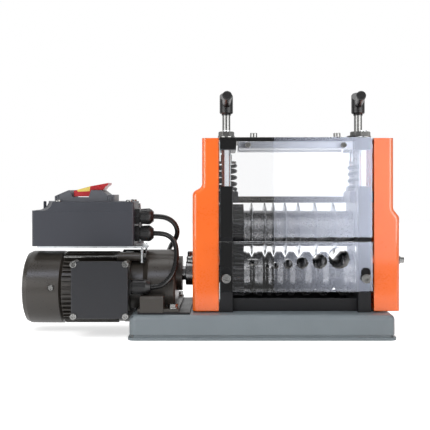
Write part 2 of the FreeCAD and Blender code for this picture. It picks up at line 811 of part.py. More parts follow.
# Axis and angle that lay a bolt down so that its head points along the given direction
HEAD_TO_FRONT = ((1, 0, 0), 90)
HEAD_TO_REAR = ((1, 0, 0), -90)
HEAD_TO_RIGHT = ((0, 1, 0), 90)
HEAD_TO_LEFT = ((0, 1, 0), -90)
HEAD_DOWN = ((1, 0, 0), 180)


# Base tray: pressed sheet, open underneath, with a groove and a lip along its foot


def make_base_tray():
    tray = Piece("base_tray", base_middle_x, 0, 0)
    body_length = base_length - 2 * base_lip
    body_depth = base_depth - 2 * base_lip
    ring = base_lip_rise + base_groove_rise

    def block(level, height, inset):
        x = base_length / 2 - inset
        y = base_depth / 2 - inset
        return tray.pad("XY", level, height, rectangle(-x, -y, x, y))

    block(0, base_lip_rise, 0)
    block(base_lip_rise, base_groove_rise, base_lip + base_groove)
    block(ring, base_height - ring, base_lip)
    tray.soften("Fillet", base_corner_round, runs_along("z"))
    tray.soften("Fillet", base_edge_round, lies_at("z", base_height))
    wall = base_lip + base_groove + base_sheet
    x = base_length / 2 - wall
    y = base_depth / 2 - wall
    tray.cut("XY", 0, base_height - base_sheet, rectangle(-x, -y, x, y))
    holes = []
    for wall_x in (left_wall_x, right_wall_x):
        for side in (-1, 1):
            x = wall_x - base_middle_x
            holes.append(circle(x, side * wall_bolt_y, wall_bolt_dia + 2 * bolt_hole_gap))
    bolt_x = motor_right_x + foot_flange_start + foot_flange_width - foot_bolt_inset
    stud_x = motor_right_x + foot_start + foot_width / 2
    for x, y in ((bolt_x, foot_bolt_y), (stud_x, foot_stud_y)):
        for side in (-1, 1):
            holes.append(circle(x - base_middle_x, side * y, foot_bolt_dia + 2 * bolt_hole_gap))
    tray.cut("XY", base_height - 2 * base_sheet, 3 * base_sheet, *holes)
    return tray


# Side walls: thick plates with a bearing bore below and a window for the sliding block


def make_wall(label, wall_x, outward):
    """A side wall. The bearing sits in from the outward side, against a shoulder."""
    wall = Piece(label, wall_x, 0, 0)
    half = wall_depth / 2
    window = window_width / 2
    wall.pad(
        "YZ",
        -(wall_thick / 2),
        wall_thick,
        polygon(
            [
                (-half, base_height),
                (half, base_height),
                (half, wall_top),
                (window, wall_top),
                (window, window_floor),
                (-window, window_floor),
                (-window, wall_top),
                (-half, wall_top),
            ]
        ),
    )
    through = wall_thick + 2 * cut_over
    wall.cut("YZ", -(through / 2), through, circle(0, lower_axis_z, bearing_dia - 2 * bearing_lip))
    bore_start = wall_thick / 2 - bearing_width if outward > 0 else -(wall_thick / 2)
    wall.cut("YZ", bore_start, bearing_width, circle(0, lower_axis_z, bearing_dia))
    wall.cut(
        "XY",
        wall_top - pillar_stud_in_wall,
        pillar_stud_in_wall,
        circle(0, -pillar_y, pillar_stud_dia),
        circle(0, pillar_y, pillar_stud_dia),
    )
    wall.cut(
        "XY",
        base_height,
        wall_bolt_depth,
        circle(0, -wall_bolt_y, wall_bolt_dia + 2 * running_gap),
        circle(0, wall_bolt_y, wall_bolt_dia + 2 * running_gap),
    )
    wall.cut("XZ", -half, guide_screw_depth, circle(0, guide_screw_z, guide_screw_dia + 2 * running_gap))
    bolt_start = wall_thick / 2 - cover_bolt_depth if outward > 0 else -(wall_thick / 2)
    wall.cut(
        "YZ",
        bolt_start,
        cover_bolt_depth,
        circle(-cover_bolt_y, cover_bolt_z, cover_bolt_dia + 2 * running_gap),
        circle(cover_bolt_y, cover_bolt_z, cover_bolt_dia + 2 * running_gap),
    )
    rod_start = -(wall_thick / 2) if outward > 0 else wall_thick / 2 - tie_rod_spigot
    rod_hole = circle(pillar_y, tie_rod_z, tie_rod_spigot_dia + 2 * running_gap)
    wall.cut("YZ", rod_start, tie_rod_spigot, rod_hole)
    front_and_back = either(lies_at("y", half), lies_at("y", -half))
    wall.soften("Chamfer", edge_chamfer, both(runs_along("z"), front_and_back))
    return wall


# Caps, pillars, nuts and the parts across the top


def make_cap(label, wall_x, inward):
    """A cap block across the two pillars. Its boss holds the adjusting screw's thread."""
    cap = Piece(label, wall_x, 0, 0)
    outer = -inward * (wall_thick / 2)
    inner = inward * (wall_thick / 2 + cap_overhang)
    half = wall_depth / 2
    cap.pad("XY", cap_bottom, cap_top - cap_bottom, rectangle(outer, -half, inner, half))
    cap.pad("XY", cap_top, cap_boss_rise, circle(0, 0, cap_boss_dia))
    lap = inward * (wall_thick / 2 + cap_overhang - top_plate_lap)
    cap.cut(
        "XY",
        cap_top - top_plate_thick,
        top_plate_thick,
        rectangle(lap, -half - cut_over, inner + inward * cut_over, half + cut_over),
    )
    cap.cut(
        "XY",
        cap_bottom,
        cap_top - cap_bottom + cap_boss_rise,
        circle(0, 0, screw_dia + 2 * running_gap),
        circle(0, -pillar_y, pillar_stud_dia),
        circle(0, pillar_y, pillar_stud_dia),
    )
    cap.soften("Chamfer", edge_chamfer, both(runs_along("x"), lies_at("z", cap_bottom)))
    return cap


def make_pillars():
    """Ground pillars with a stud at each end: one in the wall, one through the cap."""
    stud_top = cap_top + washer_thick + pillar_nut_rise + stud_over_nut
    pillar = Piece("guide_pillar_template")
    stud = pillar_stud_dia / 2
    full = pillar_dia / 2
    pillar.turn(
        "Z",
        polygon(
            [
                (0, wall_top - pillar_stud_in_wall),
                (stud, wall_top - pillar_stud_in_wall),
                (stud, wall_top),
                (full, wall_top),
                (full, cap_bottom),
                (stud, cap_bottom),
                (stud, stud_top - edge_chamfer),
                (stud - edge_chamfer, stud_top),
                (0, stud_top),
            ]
        ),
    )
    copies = []
    for wall_x in (left_wall_x, right_wall_x):
        for side in (-1, 1):
            copies.append(copy_of(pillar, "pillar_copy", wall_x, side * pillar_y, 0))
    return group("guide_pillars", copies)


NUT_BEVEL = 30


def make_nut(label, flats, rise, bore):
    """A hexagon nut whose upper corners are turned off at the bevel's angle."""
    nut = Piece(label)
    nut.pad("XY", 0, rise, hexagon(0, 0, flats))
    nut.cut("XY", 0, rise, circle(0, 0, bore))
    inner = as_size(flats) / 2
    outer = as_size(flats) / math.sqrt(3) + cut_over
    drop = (outer - inner) * math.tan(math.radians(NUT_BEVEL))
    top = as_size(rise)
    over = top + cut_over
    nut.groove("Z", polygon([(inner, top), (outer, top - drop), (outer, over), (inner, over)]))
    return nut


def make_cap_nuts():
    """A nut on a washer on each pillar, and a lock nut on each adjusting screw's boss."""
    nut = make_nut("pillar_nut_template", pillar_nut_flats, pillar_nut_rise, pillar_stud_dia)
    lock = make_nut("lock_nut_template", lock_nut_flats, lock_nut_rise, screw_dia + 2 * running_gap)
    washer = Piece("washer_template")
    washer.pad("XY", 0, washer_thick, circle(0, 0, washer_dia), circle(0, 0, pillar_stud_dia))
    members = []
    for wall_x in (left_wall_x, right_wall_x):
        for side in (-1, 1):
            members.append(copy_of(washer, "washer_copy", wall_x, side * pillar_y, cap_top))
            members.append(copy_of(nut, "nut_copy", wall_x, side * pillar_y, cap_top + washer_thick))
        members.append(copy_of(lock, "lock_nut_copy", wall_x, 0, cap_top + cap_boss_rise))
    return group("cap_nuts", members)


def make_top_plate():
    plate = Piece("top_plate", head_middle_x, 0, 0)
    x = wall_spacing / 2 - wall_thick / 2 - cap_overhang + top_plate_lap
    y = wall_depth / 2
    plate.pad("XY", cap_top - top_plate_thick, top_plate_thick, rectangle(-x, -y, x, y))
    bolt_x = wall_spacing / 2 - wall_thick / 2 - top_bolt_inset - cap_overhang
    bolt_y = wall_depth / 2 - top_bar_width / 2
    corners = [(a * bolt_x, b * bolt_y) for a in (-1, 1) for b in (-1, 1)]
    holes = [circle(x, y, top_bolt_dia + 2 * bolt_hole_gap) for x, y in corners]
    plate.cut("XY", cap_top - top_plate_thick, top_plate_thick, *holes)
    plate.soften("Chamfer", sheet_edge, both(runs_along("x"), lies_at("z", cap_top)))
    return plate


def make_top_bar(label, side):
    """A square aluminium bar under the plate. The front one also holds the clear guard."""
    middle_y = side * (wall_depth / 2 - top_bar_width / 2)
    bar = Piece(label, head_middle_x, middle_y, 0)
    x = wall_spacing / 2 - wall_thick / 2 - cap_overhang - top_bar_end_gap
    half = top_bar_width / 2
    top = cap_top - top_plate_thick
    bar.pad("XY", top - top_bar_height, top_bar_height, rectangle(-x, -half, x, half))
    bolt_x = wall_spacing / 2 - wall_thick / 2 - top_bolt_inset - cap_overhang
    hole = top_bolt_dia + 2 * running_gap
    bar.cut("XY", top - top_bolt_depth, top_bolt_depth, circle(-bolt_x, 0, hole), circle(bolt_x, 0, hole))
    if side < 0:
        screw_x = wall_spacing / 2 - guard_screw_inset
        screw_z = top - top_bar_height / 2
        thread = guard_screw_dia + 2 * running_gap
        threads = [circle(-screw_x, screw_z, thread), circle(screw_x, screw_z, thread)]
        bar.cut("XZ", -half, guard_screw_depth, *threads)
    bar.soften("Chamfer", bar_edge, runs_along("x"))
    return bar


def make_top_screws():
    """Four bolts through the plate into the bars, and two screws through the guard."""
    long_bolt = bolt(
        "top_bolt_template",
        top_bolt_dia,
        top_plate_thick + top_bolt_depth - thread_end_gap,
        top_bolt_head_dia,
        top_bolt_head_rise,
        top_bolt_socket,
    )
    short = bolt(
        "guard_screw_template",
        guard_screw_dia,
        guard_thick + guard_screw_depth - thread_end_gap,
        guard_screw_head_dia,
        guard_screw_head,
        guard_screw_socket,
    )
    bolt_x = wall_spacing / 2 - wall_thick / 2 - top_bolt_inset - cap_overhang
    bolt_y = wall_depth / 2 - top_bar_width / 2
    screw_x = wall_spacing / 2 - guard_screw_inset
    screw_z = cap_top - top_plate_thick - top_bar_height / 2
    members = []
    for a in (-1, 1):
        for b in (-1, 1):
            place = head_middle_x + a * bolt_x
            members.append(copy_of(long_bolt, "top_bolt_copy", place, b * bolt_y, cap_top))
        members.append(
            copy_of(
                short,
                "guard_screw_copy",
                head_middle_x + a * screw_x,
                wall_front - guard_thick,
                screw_z,
                *HEAD_TO_FRONT,
            )
        )
    return group("top_screws", members)


def make_tie_rod():
    rod = Piece("rear_tie_rod", head_middle_x, pillar_y, tie_rod_z)
    inner = wall_spacing / 2 - wall_thick / 2
    reach = inner + tie_rod_spigot - thread_end_gap
    rod.turn(
        "X",
        polygon(
            [
                (-reach, 0),
                (reach, 0),
                (reach, tie_rod_spigot_dia / 2),
                (inner, tie_rod_spigot_dia / 2),
                (inner, tie_rod_dia / 2),
                (-inner, tie_rod_dia / 2),
                (-inner, tie_rod_spigot_dia / 2),
                (-reach, tie_rod_spigot_dia / 2),
            ]
        ),
    )
    return rod


def make_chip_tray():
    """Folded sheet between the walls, upright in front and at the rear, that catches what falls."""
    tray = Piece("chip_tray", head_middle_x, 0, 0)
    x = wall_spacing / 2 - wall_thick / 2
    front = chip_tray_front_y
    rear = wall_depth / 2 - chip_tray_rear_inset
    floor = base_height + chip_tray_sheet
    tray.pad(
        "YZ",
        -x,
        2 * x,
        polygon(
            [
                (front, base_height),
                (rear, base_height),
                (rear, chip_tray_top),
                (rear - chip_tray_sheet, chip_tray_top),
                (rear - chip_tray_sheet, floor),
                (front + chip_tray_sheet, floor),
                (front + chip_tray_sheet, chip_tray_top),
                (front, chip_tray_top),
            ]
        ),
    )
    inner_bends = either(
        lies_at("y", front + chip_tray_sheet),
        lies_at("y", rear - chip_tray_sheet),
    )
    tray.soften("Fillet", chip_tray_bend, both(runs_along("x"), lies_at("z", floor), inner_bends))
    return tray


# Feed roller, bladed shaft, bearings and gears


def make_bearings(label, centre_z):
    """Two ball bearings seen as closed rings: outer race, shield, inner race."""
    ring = Piece(label + "_template")
    half = bearing_width / 2
    inner = shaft_dia / 2 + running_gap
    outer = bearing_dia / 2
    shield_in = inner + bearing_race
    shield_out = outer - bearing_lip
    sunk = half - bearing_shield_depth
    ring.turn(
        "X",
        polygon(
            [
                (-half, inner),
                (half, inner),
                (half, shield_in),
                (sunk, shield_in),
                (sunk, shield_out),
                (half, shield_out),
                (half, outer),
                (-half, outer),
                (-half, shield_out),
                (-sunk, shield_out),
                (-sunk, shield_in),
                (-half, shield_in),
            ]
        ),
    )
    shift = wall_thick / 2 - bearing_width / 2
    return group(
        label,
        [
            copy_of(ring, label + "_left", left_wall_x - shift, 0, centre_z),
            copy_of(ring, label + "_right", right_wall_x + shift, 0, centre_z),
        ],
    )


PRESSURE_ANGLE = 20
ADDENDUM = 1
DEDENDUM = 1.25


def involute(base_radius, radius):
    """Polar angle that an involute has gained when it reaches this radius."""
    if radius <= base_radius:
        return 0.0
    steep = math.acos(base_radius / radius)
    return math.tan(steep) - steep


def make_gear(label, x, z, start_angle):
    """A spur gear on its shaft. Each gap is cut with involute flanks, then repeated."""
    gear = Piece(label, x, 0, z)
    teeth = gear_teeth.value
    pitch = teeth / 2
    tip = pitch + ADDENDUM
    root = pitch - DEDENDUM
    base = pitch * math.cos(math.radians(PRESSURE_ANGLE))
    blank = circle(0, 0, gear_module * (gear_teeth + 2 * ADDENDUM))
    gear.pad("YZ", 0, gear_width, blank, circle(0, 0, shaft_dia + 2 * running_gap))
    slack = gear_backlash.value / gear_module.value / 2
    half_gap = math.pi / 2 / teeth + slack / pitch
    past_tip = tip + cut_over.value / 5
    radii = [root, (base + pitch) / 2, pitch, (pitch + tip) / 2, past_tip]
    flank = []
    for radius in radii:
        angle = half_gap - (involute(base, pitch) - involute(base, radius))
        flank.append((radius, angle))
    points = [(radius, -angle) for radius, angle in reversed(flank)] + flank
    middle = math.radians(start_angle)
    corners = [
        (gear_module * (radius * math.cos(middle + angle)), gear_module * (radius * math.sin(middle + angle)))
        for radius, angle in points
    ]
    gap = gear.cut("YZ", 0, gear_width, polygon(corners))
    gear.polar(gap, "X", gear_teeth)
    return gear


def make_lower_roller():
    """One turned bar: journals at both ends, seven grooves that grow to the right."""
    roller = Piece("feed_roller", left_wall_x, 0, lower_axis_z)
    radius = roller_dia / 2
    journal = shaft_dia / 2
    start = wall_thick / 2 + gear_hub_gap + gear_width
    end = wall_spacing - wall_thick / 2 - roller_gap
    left_end = -(wall_thick / 2 + coupling_reach)
    outline = [(left_end, 0), (left_end, journal), (start, journal), (start, radius)]
    for number, (x, width, depth, _) in enumerate(channels):
        reach = width / 2
        top = radius
        if number == 0:
            top = radius - flat_channel_depth
            outline += [(x - flat_channel_width / 2, radius), (x - flat_channel_width / 2, top)]
            reach = width / 2 - flat_channel_depth / 2
        floor = groove_floor / 2
        bottom = radius - depth
        outline += [(x - reach, top), (x - floor, bottom), (x + floor, bottom), (x + reach, top)]
        if number == 0:
            outline += [(x + flat_channel_width / 2, top), (x + flat_channel_width / 2, radius)]
    right_end = wall_spacing + wall_thick / 2 + roller_over_wall
    outline += [(end, radius), (end, journal), (right_end, journal), (right_end, 0)]
    roller.turn("X", polygon(outline))
    return roller


def make_blade_shaft():
    shaft = Piece("blade_shaft", left_wall_x, 0, upper_axis_z)
    journal = shaft_dia / 2
    seat = blade_seat_dia / 2
    start = wall_thick / 2 + gear_hub_gap + gear_width
    end = wall_spacing - wall_thick / 2 - roller_gap
    reach = wall_thick / 2 + shaft_over_wall
    shaft.turn(
        "X",
        polygon(
            [
                (-reach, 0),
                (-reach, journal - edge_chamfer),
                (-reach + edge_chamfer, journal),
                (start, journal),
                (start, seat),
                (end, seat),
                (end, journal),
                (wall_spacing + reach - edge_chamfer, journal),
                (wall_spacing + reach, journal - edge_chamfer),
                (wall_spacing + reach, 0),
            ]
        ),
    )
    return shaft


def make_blades():
    """Seven discs ground to an edge from both sides, one over each groove."""
    blade = Piece("blade_template")
    inner = blade_seat_dia / 2 + running_gap
    outer = blade_dia / 2
    half = blade_thick / 2
    tip = blade_tip_thick / 2
    blade.turn(
        "X",
        polygon(
            [
                (-half, inner),
                (half, inner),
                (half, outer - blade_bevel),
                (tip, outer),
                (-tip, outer),
                (-half, outer - blade_bevel),
            ]
        ),
    )
    copies = [copy_of(blade, "blade_copy", left_wall_x + x, 0, upper_axis_z) for x, _, _, _ in channels]
    return group("cutting_blades", copies)


def make_spacers():
    """Sleeves on the shaft that hold the blades at their distances."""
    start = wall_thick / 2 + gear_hub_gap + gear_width
    end = wall_spacing - wall_thick / 2 - roller_gap
    half = blade_thick / 2
    starts = [start] + [x + half for x, _, _, _ in channels]
    ends = [x - half for x, _, _, _ in channels] + [end]
    members = []
    for number, (low, high) in enumerate(zip(starts, ends)):
        sleeve = Piece("spacer_" + str(number + 1), left_wall_x, 0, upper_axis_z)
        inner = blade_seat_dia / 2 + running_gap
        outer = spacer_dia / 2
        sleeve.turn("X", polygon([(low, inner), (high, inner), (high, outer), (low, outer)]))
        members.append(sleeve)
    return group("blade_spacers", members)


def make_coupling():
    """The output shaft and the sleeve that joins it to the feed roller, with its clamp bolt."""
    wall_face = left_wall_x - wall_thick / 2
    sleeve_end = wall_face - coupling_end_gap
    sleeve_start = sleeve_end - coupling_length
    roller_end = wall_face - coupling_reach
    boss_end = gearbox_face_x + boss_length
    coupling = Piece("shaft_coupling", 0, 0, lower_axis_z)
    journal = shaft_dia / 2
    outer = coupling_dia / 2
    coupling.turn(
        "X",
        polygon(
            [
                (boss_end - output_seat_depth, 0),
                (boss_end - output_seat_depth, output_dia / 2),
                (sleeve_start, output_dia / 2),
                (sleeve_start, outer - edge_chamfer),
                (sleeve_start + edge_chamfer, outer),
                (sleeve_end - edge_chamfer, outer),
                (sleeve_end, outer - edge_chamfer),
                (sleeve_end, journal + running_gap),
                (roller_end, journal + running_gap),
                (roller_end, 0),
            ]
        ),
    )
    bolt_x = sleeve_start + coupling_bolt_inset
    nut_start = outer - coupling_nut_root
    nut_end = outer + coupling_nut_rise
    coupling.pad("XY", nut_start, nut_end - nut_start, hexagon(bolt_x, 0, coupling_nut_flats, True))
    coupling.pad("XY", nut_end, coupling_bolt_reach - nut_end, hexagon(bolt_x, 0, coupling_bolt_flats, True))
    return coupling


# Sliding blocks, springs, adjusting screws and their lever grips


def make_slide_block(label, wall_x, outward):
    """The upper shaft's bearing housing. It slides in the wall's window."""
    block = Piece(label, wall_x, 0, 0)
    half = window_width / 2 - body_gap
    thick = wall_thick / 2
    bottom = upper_axis_z - block_drop
    shoulder = upper_axis_z + block_rise
    block.pad("YZ", -thick, wall_thick, rectangle(-half, bottom, half, shoulder))
    seat = spring_seat_reach
    block.pad("XY", shoulder, spring_seat_thick, rectangle(-seat, -half, seat, half))
    flange_start = thick + body_gap if outward > 0 else -thick - body_gap - block_flange
    flange_half = window_width / 2 + block_flange_lap
    low = bottom + block_flange_inset
    high = shoulder - block_flange_inset
    block.pad("YZ", flange_start, block_flange, rectangle(-flange_half, low, flange_half, high))
    neck_start = thick if outward > 0 else -thick - body_gap
    block.pad("YZ", neck_start, body_gap, rectangle(-half, low, half, high))
    past_flange = block_flange + body_gap + cut_over
    through = thick + past_flange
    block.cut("YZ", -through, 2 * through, circle(0, upper_axis_z, bearing_dia - 2 * bearing_lip))
    bore = bearing_width + past_flange
    bore_start = thick - bearing_width if outward > 0 else -through
    block.cut("YZ", bore_start, bore, circle(0, upper_axis_z, bearing_dia))
    tip_hole = circle(0, 0, screw_tip_dia + 2 * running_gap)
    block.cut("XY", block_top - screw_tip_depth, screw_tip_depth, tip_hole)
    block.soften("Fillet", corner_round, both(runs_along("y"), lies_at("z", block_top)))
    return block


def make_screw(label, wall_x):
    """An adjusting screw: tip in the block, collar on the spring, shank through the cap."""
    screw = Piece(label, wall_x, 0, 0)
    tip = screw_tip_dia / 2
    collar = screw_collar_dia / 2
    shoulder = screw_shoulder_dia / 2
    shank = screw_dia / 2
    tip_end = block_top - screw_tip_depth + screw_tip_gap
    screw.turn(
        "Z",
        polygon(
            [
                (0, tip_end),
                (tip - edge_chamfer, tip_end),
                (tip, tip_end + edge_chamfer),
                (tip, spring_top),
                (collar, spring_top),
                (collar, spring_top + screw_collar_thick),
                (shoulder, spring_top + screw_collar_thick),
                (shoulder, screw_shoulder_top),
                (shank, screw_shoulder_top),
                (shank, grip_bottom + grip_bore),
                (0, grip_bottom + grip_bore),
            ]
        ),
    )
    return screw


def make_grip(label, wall_x, turn):
    """A moulded lever: an upright barrel, cut off aslant, with a round arm to the front."""
    barrel_part = Piece(label + "_barrel")
    barrel = grip_dia / 2
    barrel_part.turn(
        "Z",
        polygon(
            [
                (0, 0),
                (grip_neck_dia / 2, 0),
                (grip_neck_dia / 2, grip_neck),
                (barrel - grip_round, grip_neck),
                (barrel, grip_neck + grip_round),
                (barrel, grip_height),
                (0, grip_height),
            ]
        ),
    )
    reach = barrel + cut_over
    lip = grip_height - grip_slant_drop
    over = grip_height + cut_over
    slant = polygon([(-reach, lip), (reach, grip_height), (reach, over), (-reach, over)])
    barrel_part.cut("YZ", -reach, 2 * reach, slant)
    barrel_part.cut("XY", 0, grip_bore, circle(0, 0, screw_dia + 2 * running_gap))
    arm = Piece(label + "_arm", 0, 0, arm_root_rise)
    root = arm_root_dia / 2
    end = arm_dia / 2
    arm.turn(
        "Y",
        polygon(
            [
                (0, 0),
                (-arm_length, 0),
                (-arm_length, end - grip_round),
                (-arm_length + grip_round, end),
                (-arm_length + arm_knob, end),
                (-barrel, root),
                (0, root),
            ]
        ),
    )
    arm.body.Placement.Rotation = FreeCAD.Rotation(FreeCAD.Vector(-1, 0, 0), arm_tilt.value)
    bind(arm.body, "Placement.Rotation.Angle", arm_tilt)
    grip = doc.addObject("Part::MultiFuse", label)
    grip.Label = label
    grip.Shapes = [barrel_part.body, arm.body]
    grip.Placement.Rotation = FreeCAD.Rotation(FreeCAD.Vector(0, 0, 1), turn.value)
    bind(grip, "Placement.Base.x", wall_x)
    bind(grip, "Placement.Base.z", grip_bottom)
    return grip


def biarc(p0, t0, p1, t1):
    """Two arcs that join two points with the given directions."""
    step = p1 - p0
    turn = 2 * (1 - t0.dot(t1))
    lean = step.dot(t0 + t1)
    reach = (math.sqrt(lean * lean + turn * step.dot(step)) - lean) / turn
    q0 = p0 + t0 * reach
    q1 = p1 - t1 * reach
    middle = (q0 + q1) * 0.5
    return [arc_from(p0, t0, middle), arc_from(middle, (q1 - q0).normalize(), p1)]


def arc_from(start, direction, end):
    """The arc that leaves the start in a direction and ends at the end."""
    chord = end - start
    along = FreeCAD.Vector(chord).normalize()
    half = direction.getAngle(along)
    across = (direction - along * direction.dot(along)).normalize()
    rise = chord.Length / 2 * math.tan(half / 2)
    return Part.Arc(start, start + chord * 0.5 + across * rise, end).toShape()


def tube_along(edges, start, direction, dia):
    """A round tube swept along joined edges, with its volume checked against its length."""
    path = Part.Wire(edges)
    ring = Part.Wire([Part.Circle(start, direction, dia / 2).toShape()])
    tube = path.makePipeShell([ring], True, False)
    section = math.pi * dia * dia / 4
    return tube, path, tube.Volume / (section * path.Length)


def least_gap(points, lengths, dia):
    """The least clear distance between stretches of a tube that lie apart along it."""
    nearest = None
    for i, (a, place) in enumerate(zip(points, lengths)):
        for b, other in zip(points[i + 1 :], lengths[i + 1 :]):
            if other - place > 3 * dia:
                gap = (a - b).Length - dia
                nearest = gap if nearest is None else min(nearest, gap)
    return nearest


def wound_tube(label, dia, turns_at, place_of, starts_flat):
    """A tube wound through points half a turn apart. place_of gives radius and height by turns."""

    def point(turns):
        radius, height = place_of(turns)
        angle = 2 * math.pi * turns
        return FreeCAD.Vector(radius * math.cos(angle), radius * math.sin(angle), height)

    def heading(turns):
        step = 0.02
        radius, height = place_of(turns)
        rates = []
        for side in (-step, step):
            if turns_at[0] <= turns + side <= turns_at[-1]:
                other_radius, other_height = place_of(turns + side)
                rates.append(((other_radius - radius) / side, (other_height - height) / side))
        outward = sum(rate for rate, _ in rates) / len(rates)
        upward = min((rate for _, rate in rates), key=abs)
        if starts_flat and turns in (turns_at[0], turns_at[-1]):
            outward = 0
            upward = 0
        angle = 2 * math.pi * turns
        direction = FreeCAD.Vector(-math.sin(angle), math.cos(angle), 0) * (2 * math.pi * radius)
        direction = direction + FreeCAD.Vector(math.cos(angle), math.sin(angle), 0) * outward
        direction = direction + FreeCAD.Vector(0, 0, upward)
        return direction.normalize()

    edges = []
    if starts_flat:
        first = point(turns_at[0])
        edges.append(Part.LineSegment(first - heading(turns_at[0]) * dia, first).toShape())
    for now, later in zip(turns_at, turns_at[1:]):
        edges += biarc(point(now), heading(now), point(later), heading(later))
    if starts_flat:
        last = point(turns_at[-1])
        edges.append(Part.LineSegment(last, last + heading(turns_at[-1]) * dia).toShape())
    start = edges[0].valueAt(edges[0].FirstParameter)
    tube, path, share = tube_along(edges, start, heading(turns_at[0]), dia)
    count = 240
    samples = path.discretize(count)
    lengths = [path.Length * i / (count - 1) for i in range(count)]
    gap = least_gap(samples, lengths, dia)
    lowest = min(sample.z for sample in samples) - dia / 2
    print(label, "length", round(path.Length, 1), "volume share", round(share, 4), end=" ")
    print("least gap", round(gap, 2), "lowest point", round(lowest, 2))
    return tube


def make_spring(label, wall_x):
    """A heavy spring with a closed turn at each end, wound as one tube."""
    wire = spring_wire.value
    radius = (spring_dia.value - wire) / 2
    low = block_top.value + wire / 2 + running_gap.value
    high = spring_top.value - wire / 2 - 2 * running_gap.value
    closed = spring_end_turns.value
    closed_pitch = wire + spring_end_gap.value
    closed_rise = closed_pitch * closed
    active = spring_turns.value
    pitch = (high - low - 2 * closed_rise) / active
    last = active + 2 * closed

    def place_of(turns):
        if turns <= closed:
            return radius, low + closed_pitch * turns
        if turns <= closed + active:
            return radius, low + closed_rise + pitch * (turns - closed)
        return radius, high - closed_pitch * (last - turns)

    turns_at = [i / 2 for i in range(int(round(last * 2)) + 1)]
    made = shaped(label, wound_tube(label, wire, turns_at, place_of, False))
    bind(made, "Placement.Base.x", wall_x)
    return made


# Clear guard and clear wire guide


def make_upper_guard():
    guard = Piece("upper_guard", head_middle_x, 0, 0)
    x = wall_spacing / 2 + wall_thick / 2 + guard_reach
    guard.pad("XZ", wall_front - guard_thick, guard_thick, rectangle(-x, guard_bottom, x, cap_top))
    screw_x = wall_spacing / 2 - guard_screw_inset
    screw_z = cap_top - top_plate_thick - top_bar_height / 2
    hole = guard_screw_dia + 2 * bolt_hole_gap
    holes = [circle(-screw_x, screw_z, hole), circle(screw_x, screw_z, hole)]
    guard.cut("XZ", wall_front - guard_thick, guard_thick, *holes)
    guard.soften("Fillet", corner_round, runs_along("y"))
    return guard


def make_wire_guide():
    """A front plate over both walls, with a thick block between them that guides the cables."""
    guide = Piece("wire_guide", left_wall_x, 0, 0)
    reach = wall_thick / 2 + guard_reach
    front = wall_front - guide_thick
    guide.pad("XZ", front, guide_thick, rectangle(-reach, guide_bottom, wall_spacing + reach, guide_top))
    inset = wall_thick / 2 + guide_block_inset
    guide.pad(
        "XZ",
        wall_front,
        guide_block_depth,
        rectangle(inset, guide_bottom + guide_block_foot, wall_spacing - inset, guide_top - guide_block_head),
    )
    through = guide_thick + guide_block_depth
    holes = []
    for x, _, _, dia in channels:
        if dia is None:
            half = guide_slot_width / 2
            tall = guide_slot_height / 2
            holes.append(rectangle(x - half, guide_slot_z - tall, x + half, guide_slot_z + tall))
        else:
            holes.append(circle(x, guide_floor_z + dia / 2, dia))
    guide.cut("XZ", front, through, *holes)
    for x in (0, wall_spacing):
        key = as_size(x)
        slot = guide_screw_dia / 2 + bolt_hole_gap
        guide.cut("XZ", front, guide_thick, circle(key, guide_screw_z + keyhole_rise, keyhole_dia))
        guide.cut(
            "XZ",
            front,
            guide_thick,
            rectangle(key - slot, guide_screw_z, key + slot, guide_screw_z + keyhole_rise),
        )
        guide.cut("XZ", front, guide_thick, circle(key, guide_screw_z, 2 * slot))
    long_edges = either(lies_at("z", guide_bottom), lies_at("z", guide_top))
    guide.soften("Chamfer", edge_chamfer, both(lies_at("y", front), long_edges))
    return guide


def make_guide_screws():
    template = bolt(
        "guide_screw_template",
        guide_screw_dia,
        guide_thick + guide_screw_depth - thread_end_gap,
        guide_screw_head_dia,
        guide_screw_head,
        guide_screw_socket,
    )
    front = wall_front - guide_thick
    members = []
    for x in (left_wall_x, right_wall_x):
        members.append(copy_of(template, "guide_screw_copy", x, front, guide_screw_z, *HEAD_TO_FRONT))
    return group("wire_guide_screws", members)


# Side covers: moulded shells, open towards the wall, on two posts each


# The inner step lies lower than the outer one by this share of the wall, so that the wall stays even
STEP_SHARE = 0.4


